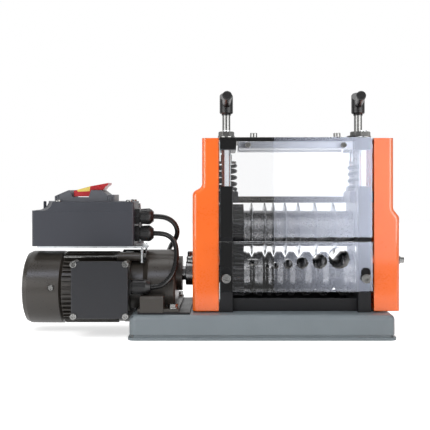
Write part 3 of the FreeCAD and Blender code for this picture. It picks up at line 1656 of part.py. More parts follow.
def make_cover(label, wall_x, outward, low_width, high_width, step_low, step_high, gap, shaft_hole):
    """A shell with its open side on the wall, wide below, narrow above, on two posts."""
    cover = Piece(label, wall_x, 0, 0)
    face = wall_thick / 2
    rim = outward * (face + gap)
    low = outward * (face + low_width)
    high = outward * (face + high_width)
    half = cover_depth / 2

    def outline(inset):
        inner_low = low - outward * inset
        inner_high = high - outward * inset
        return polygon(
            [
                (rim, cover_bottom + inset),
                (inner_low, cover_bottom + inset),
                (inner_low, step_low - inset * STEP_SHARE),
                (inner_high, step_high - inset * STEP_SHARE),
                (inner_high, cover_top - inset),
                (rim, cover_top - inset),
            ]
        )

    cover.pad("XZ", -half, cover_depth, outline(as_size(0)))
    outer_levels = either(lies_at("x", low), lies_at("x", high))
    bends = either(lies_at("z", step_low), lies_at("z", step_high))
    cover.soften("Fillet", cover_bend_round, both(runs_along("y"), outer_levels, bends))
    front_and_back = either(lies_at("y", -half), lies_at("y", half))
    cover.soften("Fillet", cover_edge_round, both(front_and_back, off_the_rim(rim)))
    cover.cut("XZ", -half + cover_wall, cover_depth - 2 * cover_wall, outline(cover_wall))
    post_start = outward * face if outward > 0 else low + cover_wall
    post_length = low_width - cover_wall
    posts = [circle(side * cover_bolt_y, cover_bolt_z, cover_post_dia) for side in (-1, 1)]
    cover.pad("YZ", post_start, post_length, *posts)
    hole_start = outward * face if outward > 0 else low
    hole = cover_bolt_dia + 2 * bolt_hole_gap
    cover.cut(
        "YZ",
        hole_start,
        low_width,
        circle(-cover_bolt_y, cover_bolt_z, hole),
        circle(cover_bolt_y, cover_bolt_z, hole),
    )
    if shaft_hole:
        opening = circle(0, lower_axis_z, coupling_dia + 2 * coupling_hole_gap)
        cover.cut("YZ", low - cut_over, cover_wall + 2 * cut_over, opening)
    return cover


def off_the_rim(rim):
    """Edges that don't lie along the open rim of a cover, nor along its floor or roof."""
    place = as_size(rim).value

    def chosen(edge):
        box = edge.BoundBox
        touches = abs(box.XMin - place) < 0.01 and abs(box.XMax - place) < 0.01
        flat = edge.Curve.TypeId == "Part::GeomLine" and abs(box.ZMax - box.ZMin) < 0.01
        return not touches and not flat

    return chosen


def make_cover_bolts():
    members = []
    washer = Piece("cover_washer_template")
    hole = cover_bolt_dia + 2 * bolt_hole_gap
    washer.pad("XY", 0, washer_thick, circle(0, 0, cover_washer_dia), circle(0, 0, hole))
    for side, wall_x, low_width, lay in (
        (-1, left_wall_x, left_cover_low_width, HEAD_TO_LEFT),
        (1, right_wall_x, right_cover_low_width, HEAD_TO_RIGHT),
    ):
        shank = low_width + washer_thick + cover_bolt_depth - thread_end_gap
        head = (cover_bolt_head_dia, cover_bolt_head, cover_bolt_socket)
        template = bolt("cover_bolt_template", cover_bolt_dia, shank, *head)
        face = wall_x + side * (wall_thick / 2 + low_width)
        seat = face + side * washer_thick
        for y in (-cover_bolt_y, cover_bolt_y):
            members.append(copy_of(washer, "washer_copy", face, y, cover_bolt_z, *lay))
            members.append(copy_of(template, "cover_bolt_copy", seat, y, cover_bolt_z, *lay))
    return group("cover_bolts", members)


def make_wall_bolts():
    """Hexagon bolts from inside the tray up into the walls."""
    template = Piece("wall_bolt_template")
    template.pad("XY", 0, base_sheet + wall_bolt_depth - thread_end_gap, circle(0, 0, wall_bolt_dia))
    template.pad("XY", -wall_bolt_head, wall_bolt_head, hexagon(0, 0, wall_bolt_flats))
    members = []
    for wall_x in (left_wall_x, right_wall_x):
        for side in (-1, 1):
            seat = base_height - base_sheet
            members.append(copy_of(template, "wall_bolt_copy", wall_x, side * wall_bolt_y, seat))
    return group("wall_bolts", members)


# Gearmotor


def make_motor_housing():
    """The stator housing: a drum with fins along it and a flat seat for the terminal box."""
    housing = Piece("motor_housing", motor_left_x, 0, motor_axis_z)
    core = motor_core_dia / 2
    shield = gearbox_dia / 2 - end_shield_inset
    shield_start = motor_body_length - end_shield_thick
    cover_seat = fan_cover_dia / 2 - fan_cover_sheet
    seat_end = fan_cover_lap - cowl_seat_gap
    boss = cover_seat - rear_boss_inset
    housing.turn(
        "X",
        polygon(
            [
                (-rear_boss_length, 0),
                (motor_body_length, 0),
                (motor_body_length, shield),
                (shield_start, shield),
                (shield_start, core),
                (seat_end + cowl_seat_slope, core),
                (seat_end, cover_seat),
                (0, cover_seat),
                (0, boss),
                (-rear_boss_length, boss - rear_boss_slope),
            ]
        ),
    )
    fin_start = fan_cover_lap + fin_end_gap
    fin = housing.pad(
        "YZ",
        fin_start,
        shield_start - fin_end_gap - fin_start,
        rectangle(-(fin_thick / 2), core - fin_root, fin_thick / 2, core + fin_height),
    )
    housing.polar(fin, "X", fin_count)
    seat = terminal_seat_size / 2
    middle = terminal_middle_x - motor_left_x
    level = terminal_middle_z - motor_axis_z
    housing.pad(
        "XZ",
        terminal_box_back,
        core / 2,
        rectangle(middle - seat, level - seat, middle + seat, level + seat),
    )
    rise = tie_boss_z - motor_axis_z
    bosses = [circle(side * tie_boss_y, rise, tie_boss_dia) for side in (-1, 1)]
    housing.pad("YZ", shield_start, end_shield_thick, *bosses)
    lug = cover_seat - cowl_lug_gap
    low = cowl_screw_rise - cowl_lug_width / 2
    high = cowl_screw_rise + cowl_lug_width / 2
    lug_fronts = (-lug, lug - cowl_lug_thick)
    for near in lug_fronts:
        outline = rectangle(near, low, near + cowl_lug_thick, high)
        housing.pad("YZ", -cowl_lug_reach, cowl_lug_reach, outline)
    for near in lug_fronts:
        hole = circle(-cowl_screw_back, cowl_screw_rise, cowl_screw_dia + 2 * running_gap)
        housing.cut("XZ", near, cowl_lug_thick, hole)
    return housing


# A bend drawn with one middle point leaves it this share of the bend's radius in from both faces
BEND_SHARE = 0.3


def make_fan_cover():
    """A deep-drawn cowl: air enters through slots in its end and leaves over the fins."""
    cowl = Piece("fan_cover", fan_end_x, 0, motor_axis_z)
    outer = fan_cover_dia / 2
    inner = outer - fan_cover_sheet
    bend = fan_cover_round
    knuckle = bend * BEND_SHARE
    length = fan_cover_length + fan_cover_lap - cowl_seat_gap
    cowl.turn(
        "X",
        polygon(
            [
                (0, 0),
                (0, outer - bend),
                (knuckle, outer - knuckle),
                (bend, outer),
                (length, outer),
                (length, inner),
                (bend + edge_chamfer, inner),
                (knuckle + fan_cover_sheet, outer - knuckle - fan_cover_sheet),
                (fan_cover_sheet, outer - bend - edge_chamfer),
                (fan_cover_sheet, 0),
            ]
        ),
    )
    half = cowl_slot_width / 2
    for start, end, count in cowl_slots:
        slot = cowl.cut("YZ", 0, fan_cover_sheet, rectangle(-half, start, half, end))
        cowl.polar(slot, "X", count)
    screw_x = fan_cover_length - cowl_screw_back
    seat = outer - cowl_dimple_depth
    for start, depth, dia in (
        (-outer, cowl_dimple_depth, cowl_dimple_dia),
        (seat, cowl_dimple_depth, cowl_dimple_dia),
        (-outer, outer, cowl_screw_dia + 2 * bolt_hole_gap),
        (as_size(0), outer, cowl_screw_dia + 2 * bolt_hole_gap),
    ):
        cowl.cut("XZ", start, depth, circle(screw_x, cowl_screw_rise, dia))
    return cowl


def make_fan():
    """Radial fan on the motor's shaft end."""
    fan = Piece("cooling_fan", motor_left_x, 0, motor_axis_z)
    fan_end = fan_start - fan_width
    shaft_start = -(rear_boss_length + body_gap)
    shaft_end = fan_end - motor_shaft_over_fan
    shaft = motor_shaft_dia / 2
    hub = fan_hub_dia / 2
    disc = fan_dia / 2 - fan_disc_inset
    fan.turn(
        "X",
        polygon(
            [
                (shaft_end, 0),
                (shaft_start, 0),
                (shaft_start, shaft),
                (fan_start, shaft),
                (fan_start, disc),
                (fan_start - fan_disc_thick, disc),
                (fan_start - fan_disc_thick, hub),
                (fan_end, hub),
                (fan_end, shaft),
                (shaft_end, shaft),
            ]
        ),
    )
    half = fan_vane_thick / 2
    outline = rectangle(-half, hub - fan_vane_root, half, fan_dia / 2)
    vane = fan.pad("YZ", fan_end, fan_width - fan_disc_thick / 2, outline)
    fan.polar(vane, "X", fan_blades)
    return fan


def make_gearbox():
    """The gear case: motor ring, waist, bulge round the output, and a wide foot."""
    case = Piece("gearbox_housing", motor_right_x, 0, motor_axis_z)
    length = gearbox_length - gearbox_end_thick
    ground = base_height + motor_plate_thick - motor_axis_z
    radius = gearbox_dia / 2
    waist = gearbox_waist_dia / 2
    case.turn(
        "X",
        polygon(
            [
                (0, 0),
                (0, radius),
                (gearbox_ring, radius),
                (gearbox_ring, waist),
                (gearbox_waist_end, waist),
                (gearbox_waist_end + gearbox_shoulder, radius),
                (length, radius),
                (length, 0),
            ]
        ),
    )
    bulge_start = gearbox_waist_end + gearbox_bulge_lap
    case.pad("YZ", bulge_start, length - bulge_start, circle(0, lower_axis_z - motor_axis_z, gearbox_top_dia))
    case.cut(
        "XY",
        -gearbox_dia,
        gearbox_dia + ground,
        rectangle(gearbox_ring, -gearbox_dia, gearbox_length, gearbox_dia),
    )
    bosses = [circle(side * tie_boss_y, tie_boss_z - motor_axis_z, tie_boss_dia) for side in (-1, 1)]
    case.pad("YZ", 0, tie_boss_end, *bosses)
    half = foot_depth / 2
    case.pad(
        "YZ",
        foot_start,
        foot_width,
        polygon(
            [
                (-half, ground),
                (half, ground),
                (half, ground + foot_height - foot_edge),
                (half - foot_edge, ground + foot_height),
                (-half + foot_edge, ground + foot_height),
                (-half, ground + foot_height - foot_edge),
            ]
        ),
    )
    flange_half = half - foot_flange_inset
    flange_end = foot_flange_start + foot_flange_width
    case.pad("XY", ground, foot_flange, rectangle(foot_flange_start, -flange_half, flange_end, flange_half))
    bolt_x = foot_flange_start + foot_flange_width - foot_bolt_inset
    stud_x = foot_start + foot_width / 2
    stud_hole = foot_bolt_dia + 2 * running_gap
    case.cut(
        "XY",
        ground,
        foot_flange,
        *[circle(bolt_x, side * foot_bolt_y, foot_bolt_dia + 2 * bolt_hole_gap) for side in (-1, 1)],
    )
    studs = [circle(stud_x, side * foot_stud_y, stud_hole) for side in (-1, 1)]
    case.cut("XY", ground, foot_stud_depth, *studs)
    return case


def make_gearbox_cover():
    """The end cover with the output's boss. The output shaft runs out through the boss."""
    end = Piece("gearbox_cover", gearbox_face_x - gearbox_end_thick, 0, motor_axis_z)
    top_of_flange = base_height + motor_plate_thick + foot_flange - motor_axis_z
    radius = gearbox_dia / 2
    rise = lower_axis_z - motor_axis_z
    end.turn(
        "X",
        polygon(
            [
                (0, 0),
                (0, radius),
                (gearbox_end_thick - gearbox_end_edge, radius),
                (gearbox_end_thick, radius - gearbox_end_edge),
                (gearbox_end_thick, 0),
            ]
        ),
    )
    bulge_face = gearbox_end_thick - bulge_step
    end.pad("YZ", 0, bulge_face, circle(0, rise, gearbox_top_dia))
    end.cut(
        "XY",
        -gearbox_dia,
        gearbox_dia + top_of_flange,
        rectangle(-cut_over, -gearbox_dia, gearbox_end_thick + cut_over, gearbox_dia),
    )
    end.pad("YZ", bulge_face, bulge_step + boss_length, circle(0, rise, boss_dia))
    seat = output_seat_depth + output_end_gap
    end.cut("YZ", gearbox_end_thick + boss_length - seat, seat, circle(0, rise, output_dia + 2 * running_gap))
    return end


def make_motor_plate():
    """A thin black plate between the gearmotor's foot and the tray."""
    plate = Piece("motor_plate", 0, 0, base_height)
    half = motor_plate_depth / 2
    plate.pad("XY", 0, motor_plate_thick, rectangle(motor_plate_start, -half, motor_plate_end, half))
    bolt_x = motor_right_x + foot_flange_start + foot_flange_width - foot_bolt_inset
    stud_x = motor_right_x + foot_start + foot_width / 2
    hole = foot_bolt_dia + 2 * bolt_hole_gap
    places = [(bolt_x, foot_bolt_y), (stud_x, foot_stud_y)]
    holes = [circle(x, side * y, hole) for x, y in places for side in (-1, 1)]
    plate.cut("XY", 0, motor_plate_thick, *holes)
    return plate


def make_motor_bolts():
    """Through rods along the motor, the bracket's bolts, and the foot's bolts."""
    members = []
    rod = Piece("through_rod_template")
    rod_start = motor_left_x + fan_cover_lap + through_rod_start
    rod_length = motor_right_x - end_shield_thick - rod_start
    rod.pad("YZ", 0, rod_length, circle(0, 0, through_rod_dia))
    rod.pad("YZ", rod_length - through_rod_flats, through_rod_flats, hexagon(0, 0, through_rod_flats))
    tab_bolt = Piece("tab_bolt_template")
    tab_bolt.pad("YZ", 0, tab_bolt_head, hexagon(0, 0, tab_bolt_flats))
    tab_bolt.pad("YZ", -bracket_sheet, bracket_sheet, circle(0, 0, tab_bolt_dia))
    foot = Piece("foot_bolt_template")
    grip_length = foot_flange + motor_plate_thick + base_sheet
    foot.pad("XY", -grip_length, grip_length, circle(0, 0, foot_bolt_dia))
    foot.pad("XY", 0, foot_washer_thick, circle(0, 0, foot_washer_dia))
    foot.pad("XY", foot_washer_thick, foot_bolt_head, hexagon(0, 0, foot_bolt_flats))
    foot.pad("XY", -grip_length - foot_nut_rise, foot_nut_rise, hexagon(0, 0, foot_bolt_flats))
    stud = Piece("foot_stud_template")
    stud_length = base_sheet + motor_plate_thick + foot_stud_depth - thread_end_gap
    stud.pad("XY", 0, stud_length, circle(0, 0, foot_bolt_dia))
    stud.pad("XY", -foot_bolt_head, foot_bolt_head, hexagon(0, 0, foot_bolt_flats))
    tab_face = motor_right_x + tie_boss_end + bracket_sheet
    bolt_x = motor_right_x + foot_flange_start + foot_flange_width - foot_bolt_inset
    stud_x = motor_right_x + foot_start + foot_width / 2
    flange_top = base_height + motor_plate_thick + foot_flange
    for side in (-1, 1):
        members.append(copy_of(rod, "through_rod_copy", rod_start, side * tie_boss_y, tie_boss_z))
        members.append(copy_of(tab_bolt, "tab_bolt_copy", tab_face, side * tie_boss_y, tie_boss_z))
        members.append(copy_of(foot, "foot_bolt_copy", bolt_x, side * foot_bolt_y, flange_top))
        members.append(copy_of(stud, "foot_stud_copy", stud_x, side * foot_stud_y, base_height - base_sheet))
    cowl_screw = cross_screw(
        "cowl_screw_template", cowl_screw_dia, cowl_screw_length, cowl_screw_head_dia, cowl_screw_head
    )
    seat = fan_cover_dia / 2 - cowl_dimple_depth
    screw_x = motor_left_x - cowl_screw_back
    screw_z = motor_axis_z + cowl_screw_rise
    for side, lay in ((-1, HEAD_TO_FRONT), (1, HEAD_TO_REAR)):
        members.append(copy_of(cowl_screw, "cowl_screw_copy", screw_x, side * seat, screw_z, *lay))
    return group("gearmotor_bolts", members)


# Terminal box, switch box, bracket, glands


def make_terminal_box():
    box = Piece("terminal_box", terminal_middle_x, 0, terminal_middle_z)
    half = terminal_box_size / 2
    inner = half - terminal_wall
    depth = terminal_box_back - terminal_box_front
    box.pad("XZ", terminal_box_front, depth, rectangle(-half, -half, half, half))
    box.soften("Fillet", terminal_box_round, runs_along("y"))
    box.cut("XZ", terminal_box_front, depth - terminal_wall, rectangle(-inner, -inner, inner, inner))
    place = terminal_cover_size / 2 - terminal_screw_inset
    posts = [circle(a * place, b * place, terminal_post_dia) for a in (-1, 1) for b in (-1, 1)]
    screw_hole = terminal_screw_dia + 2 * running_gap
    box.pad("XZ", terminal_box_front, depth - terminal_wall, *posts)
    holes = [circle(a * place, b * place, screw_hole) for a in (-1, 1) for b in (-1, 1)]
    box.cut("XZ", terminal_box_front, terminal_screw_depth, *holes)
    return box


def make_terminal_cover():
    cover = Piece("terminal_cover", terminal_middle_x, 0, terminal_middle_z)
    half = terminal_cover_size / 2
    front = terminal_box_front - terminal_cover_thick
    cover.pad("XZ", front, terminal_cover_thick, rectangle(-half, -half, half, half))
    cover.soften("Fillet", terminal_cover_round, runs_along("y"))
    cover.soften("Fillet", terminal_cover_edge, lies_at("y", front))
    place = terminal_cover_size / 2 - terminal_screw_inset
    hole = terminal_screw_dia + 2 * bolt_hole_gap
    holes = [circle(a * place, b * place, hole) for a in (-1, 1) for b in (-1, 1)]
    cover.cut("XZ", front, terminal_cover_thick, *holes)
    return cover


def cross_screw(label, shank_dia, shank, head_dia, head_rise):
    """A pan-head screw along Z with a cross recess."""
    made = Piece(label)
    head = head_dia / 2
    made.turn(
        "Z",
        polygon(
            [
                (0, -as_size(shank)),
                (shank_dia / 2, -as_size(shank)),
                (shank_dia / 2, 0),
                (head, 0),
                (head, head_rise - edge_chamfer),
                (head - edge_chamfer, head_rise),
                (0, head_rise),
            ]
        ),
    )
    arm = cross_length / 2
    half = cross_width / 2
    cross = [
        (-arm, -half),
        (-half, -half),
        (-half, -arm),
        (half, -arm),
        (half, -half),
        (arm, -half),
        (arm, half),
        (half, half),
        (half, arm),
        (-half, arm),
        (-half, half),
        (-arm, half),
    ]
    made.cut("XY", head_rise - cross_depth, cross_depth, polygon(cross))
    return made


def make_box_screws():
    """Four cross-head screws in the terminal cover and four in the switch box's lid."""
    head = (terminal_screw_head_dia, terminal_screw_head)
    shank = terminal_cover_thick + terminal_screw_depth - thread_end_gap
    long_screw = cross_screw("terminal_screw_template", terminal_screw_dia, shank, *head)
    lid_screw = cross_screw("lid_screw_template", terminal_screw_dia, lid_screw_length, *head)
    place = terminal_cover_size / 2 - terminal_screw_inset
    front = terminal_box_front - terminal_cover_thick
    members = []
    for a in (-1, 1):
        for b in (-1, 1):
            members.append(
                copy_of(
                    long_screw,
                    "terminal_screw_copy",
                    terminal_middle_x + a * place,
                    front,
                    terminal_middle_z + b * place,
                    *HEAD_TO_FRONT,
                )
            )
    for x in (box_left_x + lid_screw_left, box_right_x - lid_screw_right):
        for side in (-1, 1):
            y = box_front_y + box_depth / 2 + side * (box_depth / 2 - lid_screw_inset)
            members.append(copy_of(lid_screw, "lid_screw_copy", x, y, box_top))
    return group("box_screws", members)


def make_gland(label, length, dia, flats):
    """A cable gland along X: hexagon body, ribbed dome nut, face where the cord enters."""
    gland = Piece(label)
    outer = dia / 2
    nose = cord_dia / 2 + gland_nose_wall
    neck = outer - gland_neck_inset
    dome_end = length - gland_nose_length
    gland.pad("YZ", 0, gland_hex_length, hexagon(0, 0, flats))
    gland.turn(
        "X",
        polygon(
            [
                (gland_hex_length - cut_over, 0),
                (gland_hex_length - cut_over, neck),
                (gland_neck_end, neck),
                (gland_neck_end, outer - gland_taper),
                (dome_end - gland_dome, outer),
                (dome_end, outer - gland_dome_inset),
                (length, nose),
                (length, 0),
            ]
        ),
    )
    half = gland_notch_width / 2
    notch = gland.cut(
        "YZ",
        gland_neck_end,
        length - gland_notch_end - gland_neck_end,
        rectangle(-half, outer - gland_notch_depth, half, outer + cut_over),
    )
    gland.polar(notch, "X", gland_notches)
    return gland


def make_glands():
    box_gland = make_gland("box_gland_template", gland_length, gland_dia, gland_hex)
    motor_gland = make_gland("motor_gland_template", motor_gland_length, motor_gland_dia, motor_gland_hex)
    side = terminal_middle_x + terminal_box_size / 2
    return group(
        "cable_glands",
        [
            copy_of(box_gland, "cord_gland", box_right_x, box_gland_y, cord_gland_z),
            copy_of(box_gland, "lead_gland", box_right_x, box_gland_y, lead_gland_z),
            copy_of(motor_gland, "motor_gland", side, motor_gland_y, motor_gland_z),
        ],
    )


def make_bracket():
    """Galvanised sheet: a shelf under the switch box, a tall back plate, two tabs down."""
    bracket = Piece("control_bracket", 0, 0, 0)
    shelf_bottom = box_bottom - bracket_sheet
    box_back = box_front_y + box_depth
    tab_left = motor_right_x + tie_boss_end
    shelf_right = tab_left + bracket_shelf_past_tab
    shelf_left = box_left_x + bracket_left_inset
    corner_x = box_right_x + bracket_right_over
    bracket.pad(
        "XY",
        shelf_bottom,
        bracket_sheet,
        polygon(
            [
                (shelf_left, box_front_y),
                (shelf_right, box_front_y),
                (shelf_right, box_front_y + bracket_nose_depth),
                (corner_x, box_back + bracket_sheet),
                (shelf_left, box_back + bracket_sheet),
            ]
        ),
    )
    bracket.pad(
        "XZ",
        box_back,
        bracket_sheet,
        polygon(
            [
                (shelf_left, shelf_bottom),
                (corner_x, shelf_bottom),
                (box_right_x + bracket_top_over, bracket_back_top),
                (shelf_left, bracket_back_top),
            ]
        ),
    )
    tab_half = bracket_tab_width / 2
    tab_bottom = tie_boss_z - bracket_tab_below
    for side in (-1, 1):
        low = side * tie_boss_y - tab_half
        bracket.pad(
            "YZ",
            tab_left,
            bracket_sheet,
            rectangle(low, tab_bottom, low + bracket_tab_width, box_bottom),
        )
    hole = tab_bolt_dia + 2 * bolt_hole_gap
    holes = [circle(side * tie_boss_y, tie_boss_z, hole) for side in (-1, 1)]
    bracket.cut("YZ", tab_left, bracket_sheet, *holes)
    return bracket


def make_control_box():
    box = Piece("control_box", box_left_x, box_front_y, box_bottom)
    length = box_right_x - box_left_x
    height = box_joint - box_bottom
    box.pad("XY", 0, height, rectangle(0, 0, length, box_depth))
    box.soften("Fillet", box_corner_round, runs_along("z"))
    box.cut(
        "XY",
        box_wall,
        height - box_wall,
        rectangle(box_wall, box_wall, length - box_wall, box_depth - box_wall),
    )
    places = [
        (x, y)
        for x in (as_size(lid_screw_left), length - lid_screw_right)
        for y in (as_size(lid_screw_inset), box_depth - lid_screw_inset)
    ]
    box.pad("XY", box_wall, height - box_wall, *[circle(x, y, lid_post_dia) for x, y in places])
    hole = terminal_screw_dia + 2 * running_gap
    box.cut("XY", height - lid_screw_depth, lid_screw_depth, *[circle(x, y, hole) for x, y in places])
    return box


def make_control_lid():
    """The lid, hollow below, with a scoop across its left end that runs deeper to the front."""
    lid = Piece("control_lid_blank", box_left_x, box_front_y, box_joint)
    length = box_right_x - box_left_x
    height = box_top - box_joint
    lid.pad("XY", 0, height, rectangle(0, 0, length, box_depth))
    lid.soften("Fillet", box_corner_round, runs_along("z"))
    lid.soften("Fillet", lid_edge_round, lies_at("z", height))
    solid_end = lid_scoop_front + lid_scoop_radius + lid_scoop_floor
    lid.cut(
        "XY",
        0,
        height - box_wall,
        rectangle(solid_end, box_wall, length - box_wall, box_depth - box_wall),
    )
    rows_y = (lid_screw_inset, box_depth - lid_screw_inset)
    right_posts = [(length - lid_screw_right, y) for y in rows_y]
    lid.pad("XY", 0, height - box_wall, *[circle(x, y, lid_post_dia) for x, y in right_posts])
    places = right_posts + [(lid_screw_left, y) for y in rows_y]
    hole = terminal_screw_dia + 2 * bolt_hole_gap
    lid.cut("XY", 0, height, *[circle(x, y, hole) for x, y in places])
    scoop = Piece("control_lid_scoop")
    radius = lid_scoop_radius
    floor = box_joint + lid_scoop_floor
    steps = 6
    arc = [math.pi / 2 * i / steps for i in range(steps + 1)]
    curve = [(radius * math.sin(a), floor + radius * (1 - math.cos(a))) for a in arc]
    above = box_top + lid_scoop_rise
    outline = [(-lid_scoop_reach, floor)] + curve + [(radius, above), (-lid_scoop_reach, above)]
    scoop.pad("XZ", -box_depth, 2 * box_depth, polygon(outline))
    scoop.body.Placement.Rotation = FreeCAD.Rotation(FreeCAD.Vector(0, 0, 1), lid_scoop_turn.value)
    bind(scoop.body, "Placement.Base.x", box_left_x + lid_scoop_front)
    bind(scoop.body, "Placement.Base.y", box_front_y)
    made = doc.addObject("Part::Cut", "control_lid")
    made.Label = "control_lid"
    made.Base = lid.body
    made.Tool = scoop.body
    return made


# Magnetic switch: housing, stop paddle with its inlay, two buttons under the paddle


def make_switch_housing():
    housing = Piece("switch_housing", switch_left_x, box_front_y + box_depth / 2, box_top)
    half = switch_width / 2
    top = switch_rise
    length = switch_length
    floor = top - switch_notch_depth
    housing.pad(
        "XZ",
        -half,
        switch_width,
        polygon(
            [
                (0, 0),
                (length, 0),
                (length, switch_end_rise),
                (length - switch_end_length, switch_end_rise),
                (length - switch_end_length - switch_slope, top),
                (switch_notch_end, top),
                (switch_notch_end - switch_notch_slant, floor),
                (switch_notch_start + switch_notch_slant, floor),
                (switch_notch_start, top),
                (switch_nose_length, top),
                (2 * switch_nose_edge, switch_nose_rise + switch_nose_edge),
                (0, switch_nose_rise),
            ]
        ),
    )
    rib = switch_rib_width
    for place in switch_ribs:
        front_groove = rectangle(place, -half, place + rib, -half + rib)
        rear_groove = rectangle(place, half - rib, place + rib, half)
        housing.cut("XY", 0, top, front_groove, rear_groove)
    bore = button_dia + 2 * body_gap
    well = button_depth + button_travel + body_gap
    place = button_x - switch_left_x
    housing.cut(
        "XY",
        top - well,
        well,
        circle(place, -(button_apart / 2), bore),
        circle(place, button_apart / 2, bore),
    )
    return housing


def inlay_outline():
    """The yellow part's four corners, from the pivot's side on top round to the far side."""
    return [
        (inlay_start, switch_rise + inlay_start_rise),
        (inlay_floor_start, switch_rise - inlay_floor_start_drop),
        (inlay_floor_end, switch_rise - inlay_floor_end_drop),
        (inlay_end, switch_rise + inlay_end_rise),
    ]


def make_paddle():
    """The stop paddle: pivot end in the housing's notch, hollow over the buttons, finger lip."""
    paddle = Piece("stop_paddle", switch_left_x, box_front_y + box_depth / 2, box_top)
    half = paddle_width / 2
    top = switch_rise
    under = top + paddle_gap
    paddle.pad(
        "XZ",
        -half,
        paddle_width,
        polygon(
            [
                (paddle_foot_start, top - paddle_foot_drop),
                (paddle_foot_end, top - paddle_foot_drop),
                (paddle_under_start, under),
                (paddle_under_end, under),
                (paddle_lip_x, top + paddle_lip_rise),
                (paddle_tip_x, top + paddle_tip_low),
                (paddle_tip_x + paddle_tip_over, top + paddle_tip_high),
                *reversed(inlay_outline()),
                (paddle_front, top - paddle_front_drop),
            ]
        ),
    )
    place = button_x - switch_left_x
    room = button_dia / 2 + paddle_room_along
    wide = button_apart / 2 + button_dia / 2 + paddle_room_across
    hollow = rectangle(place - room, -wide, place + room, wide)
    paddle.cut("XY", under, button_rise + paddle_roof_gap, hollow)
    return paddle


def make_paddle_inlay():
    inlay = Piece("paddle_inlay", switch_left_x, box_front_y + box_depth / 2, box_top)
    inlay.pad("XZ", -(paddle_width / 2), paddle_width, polygon(inlay_outline()))
    return inlay


def make_button(label, side, rise):
    place_y = box_front_y + box_depth / 2 + side * (button_apart / 2)
    button = Piece(label, button_x, place_y, box_top + switch_rise)
    button.turn(
        "Z",
        polygon(
            [
                (0, -button_depth),
                (button_dia / 2, -button_depth),
                (button_dia / 2, rise - bolt_head_edge),
                (button_dia / 2 - bolt_head_edge, rise),
                (0, rise),
            ]
        ),
    )
    return button


# Cords: straight runs joined by tangent arcs; the coil is one unbroken tube


# An arc takes up this share of the shorter run beside it
ARC_SHARE = 0.45


def routed_tube(label, route, dia):
    """A tube along a route, every corner rounded by a tangent arc."""
    points = [FreeCAD.Vector(*point) for point in route]
    edges = []
    radii = []
    place = points[0]
    for before, corner, after in zip(points, points[1:], points[2:]):
        into = (corner - before).normalize()
        out = (after - corner).normalize()
        half_turn = into.getAngle(out) / 2
        reach = ARC_SHARE * min((corner - before).Length, (after - corner).Length)
        radius = reach / math.tan(half_turn)
        start = corner - into * reach
        end = corner + out * reach
        inward = (out - into).normalize()
        middle = corner + inward * (radius / math.cos(half_turn) - radius)
        edges.append(Part.LineSegment(place, start).toShape())
        edges.append(Part.Arc(start, middle, end).toShape())
        radii.append(round(radius, 1))
        place = end
    edges.append(Part.LineSegment(place, points[-1]).toShape())
    direction = (points[1] - points[0]).normalize()
    tube, path, share = tube_along(edges, points[0], direction, dia)
    print(label, "length", round(path.Length, 1), "radii", radii, "volume share", round(share, 4))
    return tube


def make_motor_lead():
    """The short lead from the switch box to the terminal box, in front of the gear case."""
    box_face = (box_right_x + gland_length).value
    motor_face = (terminal_middle_x + terminal_box_size / 2 + motor_gland_length).value
    gland_y = box_gland_y.value
    end_y = motor_gland_y.value
    end_z = motor_gland_z.value
    level = lead_gland_z.value
    route = [
        (box_face, gland_y, level),
        (box_face + 12, gland_y, level),
        (-69, -14, 152.5),
        (-59.5, -23, 143.5),
        (-55.5, -36, 128),
        (-56, -49, 110.5),
        (-61.5, -60.5, 94),
        (-71.5, -68, 83),
        (motor_face + 11, end_y, end_z),
        (motor_face, end_y, end_z),
    ]
    return shaped("motor_lead", routed_tube("motor_lead", route, cord_dia.value))


def make_power_cord():
    """The supply cord: out of its gland, over and behind the gear case, down to the coil."""
    face = (box_right_x + gland_length).value
    gland_y = box_gland_y.value
    level = cord_gland_z.value
    floor = (cord_dia / 2 + cord_floor_gap).value
    coil_start_x = (coil_x + coil_loop_dia / 2 + coil_spread / 2).value
    coil_start_y = (coil_y - cord_dia).value
    route = [
        (face, gland_y, level),
        (face + 13, gland_y, level),
        (-68, -9, 178.5),
        (-59, -6, 169.5),
        (-56, -1.5, 157),
        (-61, 7, 144.5),
        (-69, 22, 134),
        (-75, 46, 121),
        (-81, 76, 101),
        (-89, 101, 66),
        (-99, 113, 31),
        (-112, 131, 7),
        (coil_start_x, coil_start_y - coil_last_run.value, floor),
        (coil_start_x, coil_start_y, floor),
    ]
    return shaped("power_cord", routed_tube("power_cord", route, cord_dia.value))


def make_cord_coil():
    """The rest of the cord: loops that spiral in on the floor, climb, and spiral out on top."""
    dia = cord_dia.value
    pitch = coil_pitch.value
    layer_turns = coil_spread.value / pitch
    outer = (coil_loop_dia.value + coil_spread.value) / 2
    inner = outer - coil_spread.value
    low = dia / 2 + cord_floor_gap.value
    high = low + dia + coil_layer_gap.value
    last = 2 * layer_turns + 0.5
    plug_height = plug_dia.value / 2

    def place_of(turns):
        if turns <= layer_turns:
            return outer - pitch * turns, low
        if turns <= layer_turns + 0.5:
            part = (turns - layer_turns) * 2
            return inner - coil_turn_in.value * math.sin(math.pi * part), low + (high - low) * part
        radius = inner + pitch * (turns - layer_turns - 0.5)
        rise = max(0, turns - (last - 0.5)) * 2
        return radius, high + (plug_height - high) * rise

    halves = int(round(layer_turns * 2))
    turns_at = [i / 2 for i in range(halves + 1)] + [layer_turns + 0.25]
    turns_at += [layer_turns + 0.5 + i / 2 for i in range(halves + 1)]
    tube = wound_tube("cord_coil", dia, turns_at, place_of, True)
    made = shaped("cord_coil", tube)
    bind(made, "Placement.Base.x", coil_x)
    bind(made, "Placement.Base.y", coil_y)
    return made


